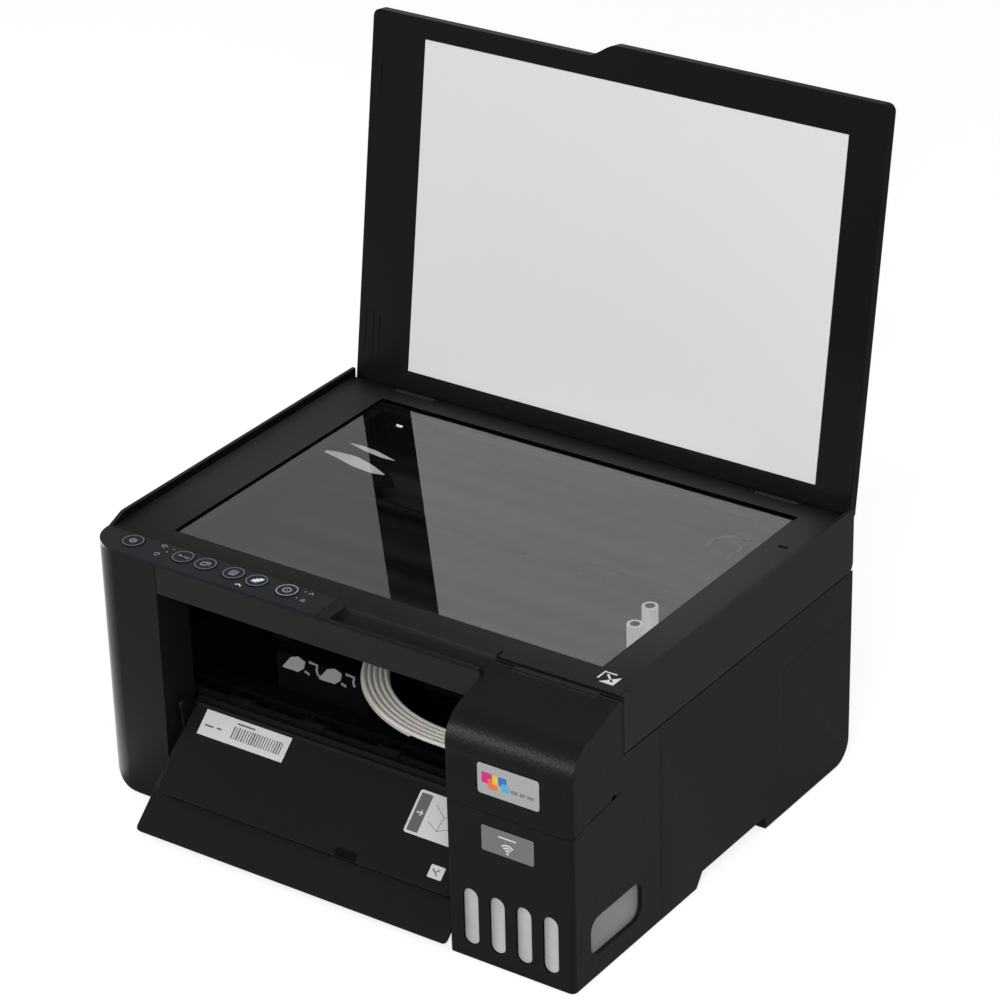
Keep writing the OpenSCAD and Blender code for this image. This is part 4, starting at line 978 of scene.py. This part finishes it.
@dataclass
class Mechanism(Assembly):
    """Carriage, rollers, tubes and the parts behind the front opening."""

    belt_box: tuple[float, float, float, float] = (-128.0, 154.0, 175.6, 188.4)
    belt_t: float = 3.3
    belt_z: float = 84.0
    tooth_pitch: float = 2.0
    clamp_top: float = 102.4
    latch_x: tuple[float, float] = (-85.0, -57.4)
    latch_front: float = 91.8
    latch_low: float = 88.7

    def __post_init__(self) -> None:
        """Sets the finish of each piece of the mechanism."""
        dark = Softened(Finishes.INNER, 0.4)
        steel = Softened(Finishes.STEEL, 0.2)
        rubber = Softened(Finishes.RUBBER, 0.2)
        self.skins = {
            # Behind the front opening, the frame, carriage, latches, platen, star wheels and cap station are
            # black parts made near-black with painted shade.
            "carriage_frame": Softened(Finishes.SHADE_BLACK, 0.3),
            "carriage_rail": steel,
            "timing_belt": rubber,
            "carriage_motor": steel,
            "print_carriage": Softened(Finishes.SHADE_BLACK, 0.4),
            "carriage_latches": Softened(Finishes.SHADE_BLACK, 0.3),
            "print_head": dark,
            "ink_tubes": Softened(Finishes.TUBE, 0.0),
            "platen": Softened(Finishes.SHADE_BLACK, 0.4),
            "feed_roller": rubber,
            "exit_roller": rubber,
            "star_wheel_bar": Softened(Finishes.SHADE_BLACK, 0.2),
            "cap_station": Softened(Finishes.SHADE_BLACK, 0.4),
            "power_supply": dark,
            "mains_inlet": Softened(Finishes.INNER, 0.3),
            "main_board": Softened(Finishes.BOARD, 0.1),
        }

    def build(self) -> None:
        """Builds the mechanism, the dark clamp of the ink tubes, the belt's teeth and the levers with their
        painted highlights.
        """
        self.dress()
        repaint("ink_tubes", Finishes.RUBBER, lambda m, n: m.z < self.clamp_top)
        self.belt_teeth()
        self.latch_levers_and_glints()

    def belt_teeth(self) -> None:
        """Teeth along the two straight runs of the carriage belt."""
        x0, x1, d0, d1 = self.belt_box
        count = int((x1 - x0) / self.tooth_pitch)
        middles = (d0 + self.belt_t / 2, d1 - self.belt_t / 2)
        runs = [(x0 + i * self.tooth_pitch, d) for d in middles for i in range(1, count)]
        flat = level("base", self.belt_z)
        self.marker.bar_row("belt_teeth", Finishes.RUBBER, flat, runs, (0.9, 0.9), 0.7, 5.0)

    def latch_levers_and_glints(self) -> None:
        """Pale levers and springs on the cartridge latches of the carriage, drawn partly as painted
        highlights.
        """
        lever = [
            (0.0, 0.2), (2.5, -0.2), (9.3, 0.0), (12.0, -0.2),
            (16.8, 3.6), (18.1, 8.7), (12.7, 10.8), (7.0, 8.7),
        ]
        spring = [(20.9, 9.4), (27.2, 9.0), (26.4, 5.4), (27.2, 2.4), (30.6, 0.8), (33.6, 1.2)]
        pin = [(17.2, 1.9), (20.8, 0.7)]
        for i, x in enumerate(self.latch_x, 1):
            latch = upright("print_carriage", self.latch_front, x, self.latch_low)
            self.marker.patch(f"latch_lever_{i}", Finishes.LEVER_GLINT, latch, lever, 0.25, 0.5)
            seen = spring if i == 1 else spring[:4]
            self.marker.strokes(f"latch_spring_{i}", Finishes.GREY, latch, [seen, pin], 1.8, 0.2)


@dataclass
class RearFeeder(Assembly):
    """Rear paper feeder with its support, guard and edge guides."""

    support_rear: float = 345.5
    cover_rear: float = 343.5

    def __post_init__(self) -> None:
        """Sets the finish of each piece of the feeder."""
        cover = Softened(Finishes.CASE, 0.5)
        self.skins = {name: cover for name in (
            "feeder_housing", "paper_support", "feeder_guard", "edge_guide_left", "edge_guide_right")}

    def build(self) -> None:
        """Builds the feeder, with grip ribs on the paper support and vents in the rear cover, drawn as bars
        of painted shade.
        """
        self.dress()
        grip = [(-9.0 + i * 3.0, 128.0) for i in range(7)]
        back = upright("paper_support", self.support_rear, rear=True)
        self.marker.bar_row("support_grip", Finishes.CASE, back, grip, (1.2, 1.2), 14.0, 0.5)
        vents = [(70.0 + i * 5.0, 40.0) for i in range(12)]
        back = upright("base", self.cover_rear, rear=True)
        # The vents are near-black bars of painted shade.
        self.marker.bar_row("rear_vents", Finishes.SHADE_BLACK, back, vents, (1.6, 1.6), 30.0, 0.06)


@dataclass
class Trays(Assembly):
    """Output tray and its extension."""

    def __post_init__(self) -> None:
        """Sets the finish of both trays."""
        self.skins = {name: Softened(Finishes.CASE, 0.4) for name in ("output_tray", "tray_extension")}


@dataclass
class FrontCover(Assembly):
    """Swing-down front cover with the labels on its inner face."""

    axis: Point2 = (49.5, 69.1)
    opening: float = 132.3
    face_d: float = 45.0
    label: tuple[float, float, float, float] = (-115.0, 66.3, -50.4, 82.6)
    card: tuple[float, float, float, float] = (46.5, 69.5, 82.0, 96.8)
    tag: tuple[float, float, float, float] = (73.8, 109.2, 83.8, 117.2)

    def __post_init__(self) -> None:
        """Sets the finish of the cover."""
        self.skins = {
            "front_cover_shell": Softened(Finishes.INNER, 0.5),
            "front_cover_panel": Softened(Finishes.INNER, 0.6, 3),
        }

    def plane(self, d: float) -> Plane:
        """Inner side of the open cover, laid out as if it were closed.

        Args:
            d: Depth of the face on the closed cover.

        Returns:
            The plane; its first coordinate runs towards the printer's left.
        """
        turn = Matrix.Rotation(math.radians(self.opening), 3, "X")
        axis = place(0, *self.axis)
        start = axis + turn @ (place(0, d, 0) - axis)
        return Plane("front_cover", start, Vector((-1, 0, 0)), turn @ Vector((0, 0, 1)))

    def build(self) -> None:
        """Builds the cover, its labels, its catch and the ridges by its hinge."""
        self.dress()
        inner = self.plane(self.face_d)
        self.long_label(inner)
        self.card_label(inner)
        u0, v0, u1, v1 = self.tag
        self.marker.patch("cover_tag", Finishes.PAPER, inner, rectangle(-u1, v0, -u0, v1), 0.08, 0.8)
        arrow = [[(-80.6, 111.4), (-78.0, 113.4), (-80.0, 115.2)], [(-78.0, 113.4), (-75.6, 111.6)]]
        self.marker.strokes("cover_tag_mark", Finishes.PRINT, inner, arrow, 0.9, 0.12)
        catch = rectangle(-25.0, 118.8, -10.0, 124.0)
        # The catch is drawn as a near-black patch of painted shade.
        self.marker.patch("cover_catch", Finishes.SHADE_BLACK, inner, catch, 0.25, 1.2)
        ridges = [[(-95, v), (125, v)] for v in (64.6, 65.5)]
        self.marker.strokes("cover_ridges", Finishes.CASE, inner, ridges, 0.4, 0.25)

    def long_label(self, inner: Plane) -> None:
        """The long label: plain paper with a bar pattern and two grey dashes."""
        x0, z0, x1, z1 = self.label
        self.marker.patch("cover_label", Finishes.PAPER, inner, rectangle(-x1, z0, -x0, z1), 0.08)
        bars = [(-(x0 + 24.0 + i * 1.9), z0 + 8.6) for i in range(20)]
        self.marker.bar_row("cover_label_bars", Finishes.PRINT, inner, bars, (0.6, 1.2), 8.0, 0.12)
        dashes = [[(-(x0 + a), z0 + v), (-(x0 + b), z0 + v)] for a, b, v in (
            (3.0, 9.5, 9.6), (12.0, 15.5, 9.4), (24.5, 38.0, 2.6))]
        self.marker.strokes("cover_label_dashes", Finishes.PRINT, inner, dashes, 1.1, 0.12)

    def card_label(self, inner: Plane) -> None:
        """The card with rounded corners: a dark band on its left, and fold lines."""
        x0, z0, x1, z1 = self.card
        self.marker.patch("cover_card", Finishes.PAPER, inner, rectangle(-x1, z0, -x0, z1), 0.08, 2.0)
        band = rectangle(-(x0 + 9.5), z0 + 1.6, -(x0 + 1.6), z1 - 1.6)
        self.marker.patch("cover_card_band", Finishes.PRINT, inner, band, 0.11, 0.8)
        z, tip, barb = (z0 + z1) / 2, -(x0 + 7.6), -(x0 + 6.0)
        arrow = [[(-(x0 + 3.4), z), (tip, z)], [(barb, z - 1.6), (tip, z), (barb, z + 1.6)]]
        self.marker.strokes("cover_card_arrow", Finishes.PAPER, inner, arrow, 0.9, 0.14)
        drawn = (((14, 6), (22, 12), (31, 9)), ((13, 17), (21, 21), (32, 16)), ((22, 12), (21, 21)))
        folds = [[(-(x0 + a), z0 + b) for a, b in line] for line in drawn]
        self.marker.strokes("cover_card_folds", Finishes.GREY, inner, folds, 0.45, 0.11)


@dataclass
class ScannerUnit(Assembly):
    """Scanner case, its deck and glass, and what lies under the glass."""

    deck_z: float = 171.5
    glass_box: tuple[float, float, float, float] = (-146.4, 75.7, 159.0, 284.1)
    # Widths of the left and rear strips, which hold the gasket and its painted shadow.
    gasket_shadow_w: Point2 = (2.8, 4.6)
    hollow_x: float = 185.2
    hollow_d: Point2 = (62.3, 306.1)
    hollow_z: Point2 = (134.0, 170.0)
    cable_z: float = 149.2
    clip_z: float = 156.0
    pulleys: tuple[Point2, ...] = ((132.7, 150.1), (128.5, 172.9))
    bore_r: float = 3.1

    def __post_init__(self) -> None:
        """Sets the finish of each piece of the scanner."""
        self.skins = {
            "scanner_case": Softened(Finishes.CASE, 0.6, 3),
            "scanner_frame": Softened(Finishes.DECK, 0.5, 3),
            "scanner_glass": Softened(Finishes.GLASS, 0.0),
            "guide_rod": Softened(Finishes.ROD, 0.1),
            # The scan bar is a black part made near-black with painted shade, as it lies in the hollow.
            "scan_bar": Softened(Finishes.SHADE_BLACK, 0.4),
            "flat_cable": Softened(Finishes.RUBBER, 0.0),
            # The pulleys glow with painted light so they stay bright under the glass.
            "belt_pulleys": Softened(Finishes.GLOWING_WHITE, 0.3),
            "lid_hinges": Softened(Finishes.CASE, 0.4),
        }

    @property
    def deck(self) -> Plane:
        """Top of the deck."""
        return level("scanner", self.deck_z)

    def build(self) -> None:
        """Builds the unit with painted shade in its hollow and under its deck, its gasket strips with painted
        shadow, its marks, and the fittings and painted highlights under the glass.
        """
        self.dress()
        repaint("scanner_glass", Finishes.GLASS_BACK, lambda m, n: n.z < 0.5)
        # Painted shade: near-black on the walls of the hollow under the glass; its floor keeps the banded
        # finish.
        repaint("scanner_case", Finishes.SHADE_BLACK, self.is_inside)
        repaint("scanner_case", Finishes.FLOOR, lambda m, n: self.is_inside(m, n) and n.z > 0.9)
        # Painted shade on the underside of the deck.
        repaint("scanner_frame", Finishes.SHADE_BLACK, lambda m, n: n.z < -0.5)
        # Painted shade in the bores of the pulleys.
        repaint("belt_pulleys", Finishes.SHADE_BLACK, self.is_bore)
        self.gasket_and_shadow()
        self.corner_arrow()
        self.cable_highlights()
        self.clear_clips()
        # The slot in the deck is a near-black patch of painted shade.
        slot = rectangle(168.5, 250.0, 175.5, 253.0)
        self.marker.patch("deck_slot", Finishes.SHADE_BLACK, self.deck, slot, 0.04, 1.2)

    def is_inside(self, middle: Vector, normal: Vector) -> bool:
        """True for a face of the hollow under the glass."""
        (front, rear), (low, high) = self.hollow_d, self.hollow_z
        return abs(middle.x) < self.hollow_x and front < middle.y < rear and low < middle.z < high

    def is_bore(self, middle: Vector, normal: Vector) -> bool:
        """True for a face inside the bore of a pulley."""
        near = min(((middle.x - x) ** 2 + (middle.y - d) ** 2) ** 0.5 for x, d in self.pulleys)
        return near < self.bore_r and abs(normal.z) < 0.9

    def gasket_and_shadow(self) -> None:
        """Black strips along the left and rear edges of the glass, a gasket with the painted shadow of the
        step beside it, and a thin line along the others.
        """
        x0, d0, x1, d1 = self.glass_box
        side, back = self.gasket_shadow_w
        left = rectangle(x0 - side, d0, x0, d1 + back)
        self.marker.patch("left_gasket_shadow", Finishes.GASKET_SHADOW, self.deck, left, 0.08)
        rear = rectangle(x0, d1, x1 + 1.0, d1 + back)
        self.marker.patch("rear_gasket_shadow", Finishes.GASKET_SHADOW, self.deck, rear, 0.08)
        thin = [[(x1 + 0.3, d0), (x1 + 0.3, d1)], [(x0, d0 - 0.3), (x1, d0 - 0.3)]]
        self.marker.strokes("glass_edge", Finishes.CASE, self.deck, thin, 0.5, 0.05)

    def corner_arrow(self) -> None:
        """Generic corner arrow that shows where a page goes."""
        head = [(166.0, 61.0), (175.6, 61.0), (175.6, 70.6)]
        self.marker.patch("corner_arrow", Finishes.WHITE, self.deck, head, 0.05, 0.6)
        lines = [[(173.0, 63.6), (166.4, 70.2)], [(163.4, 64.0), (163.4, 72.0), (171.4, 72.0)]]
        self.marker.strokes("corner_lines", Finishes.WHITE, self.deck, lines, 1.3, 0.05)

    def cable_highlights(self) -> None:
        """Painted highlights where the cable's clear sleeve folds, and its clip."""
        plane = level("scanner", self.cable_z)
        folds = {
            "cable_highlight_1": [
                (-152.3, 240.6), (-135.6, 236.0), (-120.1, 234.5), (-110.2, 236.8),
                (-124.8, 243.4), (-140.6, 248.0), (-154.1, 247.2), (-167.1, 243.8),
            ],
            "cable_highlight_2": [
                (-142.7, 257.6), (-127.1, 255.4), (-116.3, 256.1),
                (-134.0, 261.0), (-146.9, 262.4), (-156.4, 261.4),
            ],
        }
        # The highlights are glowing pale patches: painted highlights on the sleeve.
        for name, outline in folds.items():
            self.marker.patch(name, Finishes.GLOWING_WHITE, plane, outline, 0.3, 1.5)
        ring = arc((-158.5, 285.5), 3.4, 0, 360)
        self.marker.strokes("cable_clip", Finishes.GREY, plane, [ring], 1.6, 0.6)

    def clear_clips(self) -> None:
        """Pale clips near the right rear corner, under the glass."""
        plane = level("scanner", self.clip_z)
        loop = [(118.0, 250.0), (117.0, 262.0), (124.0, 271.0), (136.0, 272.0)]
        self.marker.strokes("case_clip", Finishes.GREY, plane, [loop], 2.2, 0.8)
        hook = [(124.0, 262.0), (130.0, 266.0), (138.0, 260.0), (137.0, 244.0)]
        self.marker.strokes("case_hook", Finishes.GREY, plane, [hook], 1.4, 0.8)


@dataclass
class ControlPanel(Assembly):
    """Control panel with its buttons and marks."""

    button_d: float = 51.6
    top_z: float = 172.0
    deck_z: float = 171.5
    ring_r: float = 6.4
    buttons: dict[str, float] = field(default_factory=lambda: {
        "power": -161.7, "wifi": -123.4, "page": -106.4, "mono": -85.2, "colour": -68.0, "stop": -45.6})

    def __post_init__(self) -> None:
        """Sets the finish of the panel and its buttons."""
        key = Softened(Finishes.PANEL, 0.2)
        self.skins = {
            "control_panel": Softened(Finishes.PANEL, 0.4, 3),
            "panel_board": Softened(Finishes.BOARD, 0.1),
            **{f"button_{n}": key for n in self.buttons},
        }

    def build(self) -> None:
        """Builds the panel, a ring and a mark on each button, and the small marks between them."""
        self.dress()
        icons: dict[str, list[list[Point2]]] = {
            "power": [arc((0, 0), 1.9, 0, 360), [(0, 0.2), (0, 0.9)]],
            "wifi": [
                [(-3.6, -0.6), (-2.2, 0.9), (-0.9, -0.5)], [(0.3, 0.1), (1.6, 0.1)],
                [(2.2, -0.6), (3.6, -0.6), (3.6, 0.8)],
            ],
            "page": [
                [(-2.4, -2.2), (0.8, -2.2), (0.8, 1.0), (-2.4, 1.0), (-2.4, -2.2)],
                [(-0.6, 2.0), (2.6, 2.0), (2.6, -1.2)],
            ],
            "mono": [
                [(-2.0, -2.4), (2.0, -2.4), (2.0, 2.2), (-2.0, 2.2), (-2.0, -2.4)],
                [(-1.2, 0), (1.2, 0)], [(0, -1.6), (0, 1.4)],
            ],
            "colour": [
                [(-2.6, -1.8), (1.4, -1.8)], [(-2.4, -0.4), (2.4, -0.4)],
                [(-1.2, 1.0), (3.4, 1.0)], [(0.6, 2.4), (3.6, 2.4)],
            ],
            "stop": [arc((0, 0), 2.5, 0, 360), [(-0.5, 0), (0.5, 0)]],
        }
        ring = arc((0, 0), self.ring_r, 0, 360, 40)
        for name, x in self.buttons.items():
            top = level(f"{name}_button", self.top_z, x, self.button_d)
            finish = Finishes.MARK if name == "stop" else Finishes.MARK_FAINT
            self.marker.strokes(f"ring_{name}", finish, top, [ring], 0.85, 0.04)
            finish, width = (Finishes.MARK_BRIGHT, 1.5) if name == "colour" else (Finishes.MARK, 0.95)
            self.marker.strokes(f"mark_{name}", finish, top, icons[name], width, 0.05)
        self.small_marks()

    def small_marks(self) -> None:
        """Small lamps and marks beside the buttons."""
        plane = level("scanner", self.deck_z)
        faint = [
            [(-143.6, 56.6), (-141.6, 58.0), (-139.6, 56.6)], [(-142.6, 55.4), (-140.6, 55.4)],
            [(-141.6, 46.6), (-139.4, 48.2), (-137.6, 46.4)], [(-140.6, 45.0), (-138.4, 45.0)],
            [(-136.4, 51.6), (-135.4, 51.6)], [(-134.6, 56.4), (-133.6, 56.4)],
            [(-36.0, 56.2), (-34.8, 56.2)], [(-32.4, 54.8), (-30.6, 57.2), (-29.6, 54.8)],
            [(-36.2, 47.6), (-35.2, 47.6)], [(-32.0, 46.2), (-29.2, 46.2), (-30.6, 48.8), (-32.0, 46.2)],
        ]
        self.marker.strokes("panel_marks", Finishes.MARK, plane, faint, 0.8, 0.04)
        lit = [[(-76.4, 41.6), (-74.2, 43.0), (-72.4, 41.2)]]
        self.marker.strokes("panel_lamp", Finishes.MARK_BRIGHT, plane, lit, 0.9, 0.04)


@dataclass
class Lid(Assembly):
    """Scanner lid with its white mat."""

    hinge: Point2 = (305.4, 169.1)
    opening: float = 98.3
    inner_gap: float = 2.9

    def __post_init__(self) -> None:
        """Sets the finish of the lid and the mat."""
        self.skins = {
            "lid_shell": Softened(Finishes.LID_FACE, 0.7, 3),
            "lid_mat": Softened(Finishes.MAT, 0.4),
        }

    @property
    def inner(self) -> Plane:
        """Inner face of the open lid: across to the right, and up from the hinge."""
        turn = Matrix.Rotation(math.radians(-self.opening), 3, "X")
        start = place(0, *self.hinge) + turn @ (Vector((0, 0, self.inner_gap)) * MM)
        return Plane("lid", start, Vector((1, 0, 0)), turn @ Vector((0, -1, 0)))

    def build(self) -> None:
        """Builds the lid, with faint grooves on its inner border, drawn as dark strokes of painted shade."""
        self.dress()
        runs = ((-179, 25, 52), (-173, 20, 50), (-168, 22, 48), (-176, 190, 214))
        grooves = [[(x, low), (x, high)] for x, low, high in runs]
        # The grooves are near-black strokes of painted shade.
        self.marker.strokes("lid_grooves", Finishes.SHADE_BLACK, self.inner, grooves, 0.8, 0.05)


# ---- studio ----


@dataclass(frozen=True)
class Lamp:
    """A soft area lamp that points at the printer."""

    name: str
    position: Colour
    target: Colour
    size: float
    watts: float

    def build(self) -> None:
        """Adds the lamp to the scene."""
        data = bpy.data.lights.new(self.name, "AREA")
        data.shape = "SQUARE"
        data.size = self.size
        data.energy = self.watts
        lamp = bpy.data.objects.new(self.name, data)
        lamp.location = self.position
        aim = Vector(self.target) - Vector(self.position)
        lamp.rotation_euler = aim.to_track_quat("-Z", "Y").to_euler()
        bpy.context.scene.collection.objects.link(lamp)


@dataclass(frozen=True)
class Studio:
    """Camera, lamps, floor and background."""

    azimuth: float = 0.6246694
    elevation: float = 0.5137837
    roll: float = -0.0308774
    distance: float = 2.3423764
    target: Colour = (0.0, -0.0035, 0.100)
    lens: float = 138.273
    shift: Point2 = (0.02993, 0.13321)
    ambient: float = 0.30
    mirrored: float = 0.40
    floor_glow: float = 0.70
    card_glow: float = 3.6
    card_corner: Point2 = (-0.19, -0.16)
    lamps: tuple[Lamp, ...] = (
        Lamp("key", (1.5, -2.5, 1.7), (0, 0, 0.2), 1.6, 62.0),
        Lamp("side", (2.6, -0.5, 1.3), (0, 0, 0.1), 1.6, 24.0),
        Lamp("low", (-1.7, -2.75, 1.30), (0, 0, 0.15), 0.6, 25.0),
        Lamp("left", (-2.9, -1.0, 0.9), (0, 0, 0.1), 1.2, 10.0),
        Lamp("top", (0.0, 0.2, 2.8), (0, 0, 0.1), 2.0, 6.0),
    )

    def build(self) -> None:
        """Adds everything that isn't part of the printer."""
        self.camera()
        self.floor()
        self.world()
        for lamp in self.lamps:
            lamp.build()

    def camera(self) -> None:
        """Adds the camera and makes it the scene's."""
        data = bpy.data.cameras.new("camera")
        data.sensor_width = 36.0
        data.lens = self.lens
        data.shift_x, data.shift_y = self.shift
        data.clip_start = 0.05
        az, el = self.azimuth, self.elevation
        back = Vector((math.sin(az) * math.cos(el), -math.cos(az) * math.cos(el), math.sin(el)))
        right = (-back).cross(Vector((0, 0, 1))).normalized()
        up = right.cross(-back)
        cos, sin = math.cos(self.roll), math.sin(self.roll)
        turn = Matrix((right * cos + up * sin, up * cos - right * sin, back)).transposed().to_4x4()
        camera = bpy.data.objects.new("camera", data)
        camera.matrix_world = Matrix.Translation(Vector(self.target) + back * self.distance) @ turn
        bpy.context.scene.collection.objects.link(camera)
        bpy.context.scene.camera = camera

    def floor(self) -> None:
        """Adds a plain pale floor, bright in mirrors on the printer's left like a reflector card."""
        bm = bmesh.new()
        bmesh.ops.create_grid(bm, x_segments=1, y_segments=1, size=6.0)
        mesh = bpy.data.meshes.new("floor")
        bm.to_mesh(mesh)
        bm.free()
        material = bpy.data.materials.new("floor")
        material.use_nodes = True
        material.node_tree.nodes.clear()
        graph = Graph(material.node_tree)
        path = graph.add("ShaderNodeLightPath")
        right, front = self.card_corner
        beside = (graph.along("X") < right) * (graph.along("Y") > front)
        card = graph.out(path, "Is Glossy Ray") * beside * self.card_glow
        seen = graph.out(path, "Is Camera Ray") * self.floor_glow + card
        shader = graph.principled((0.5, 0.5, 0.5, 1.0), 0.8, {
            "Specular IOR Level": 0.1, "Emission Color": WHITE_LIGHT, "Emission Strength": seen})
        graph.add("ShaderNodeOutputMaterial", {}, {"Surface": shader})
        mesh.materials.append(material)
        floor = bpy.data.objects.new("floor", mesh)
        bpy.context.scene.collection.objects.link(floor)

    def world(self) -> None:
        """White towards the camera, in mirrors and through glass, and dimmer as a light."""
        world = bpy.data.worlds.new("world")
        world.use_nodes = True
        world.node_tree.nodes.clear()
        graph = Graph(world.node_tree)
        path = graph.add("ShaderNodeLightPath")
        seen = (graph.out(path, "Is Camera Ray") + graph.out(path, "Is Transmission Ray")).clamp()
        glossy = graph.out(path, "Is Glossy Ray") * (self.mirrored - self.ambient)
        strength = seen * (1.0 - self.ambient) + glossy + self.ambient
        background = graph.add("ShaderNodeBackground", {}, {"Color": WHITE_LIGHT, "Strength": strength})
        graph.add("ShaderNodeOutputWorld", {}, {"Surface": background.outputs[0]})
        bpy.context.scene.world = world


def main() -> None:
    """Builds the printer's looks and the studio."""
    logging.basicConfig(level=logging.INFO, format="%(message)s")
    bpy.context.scene.view_settings.view_transform = "Standard"
    marker = Marker()
    groups = (
        BaseCovers, TankUnit, Mechanism, RearFeeder, Trays, FrontCover, ScannerUnit, ControlPanel, Lid,
    )
    for group in groups:
        group(marker).build()
    Studio().build()


if __name__ == "__main__":
    main()
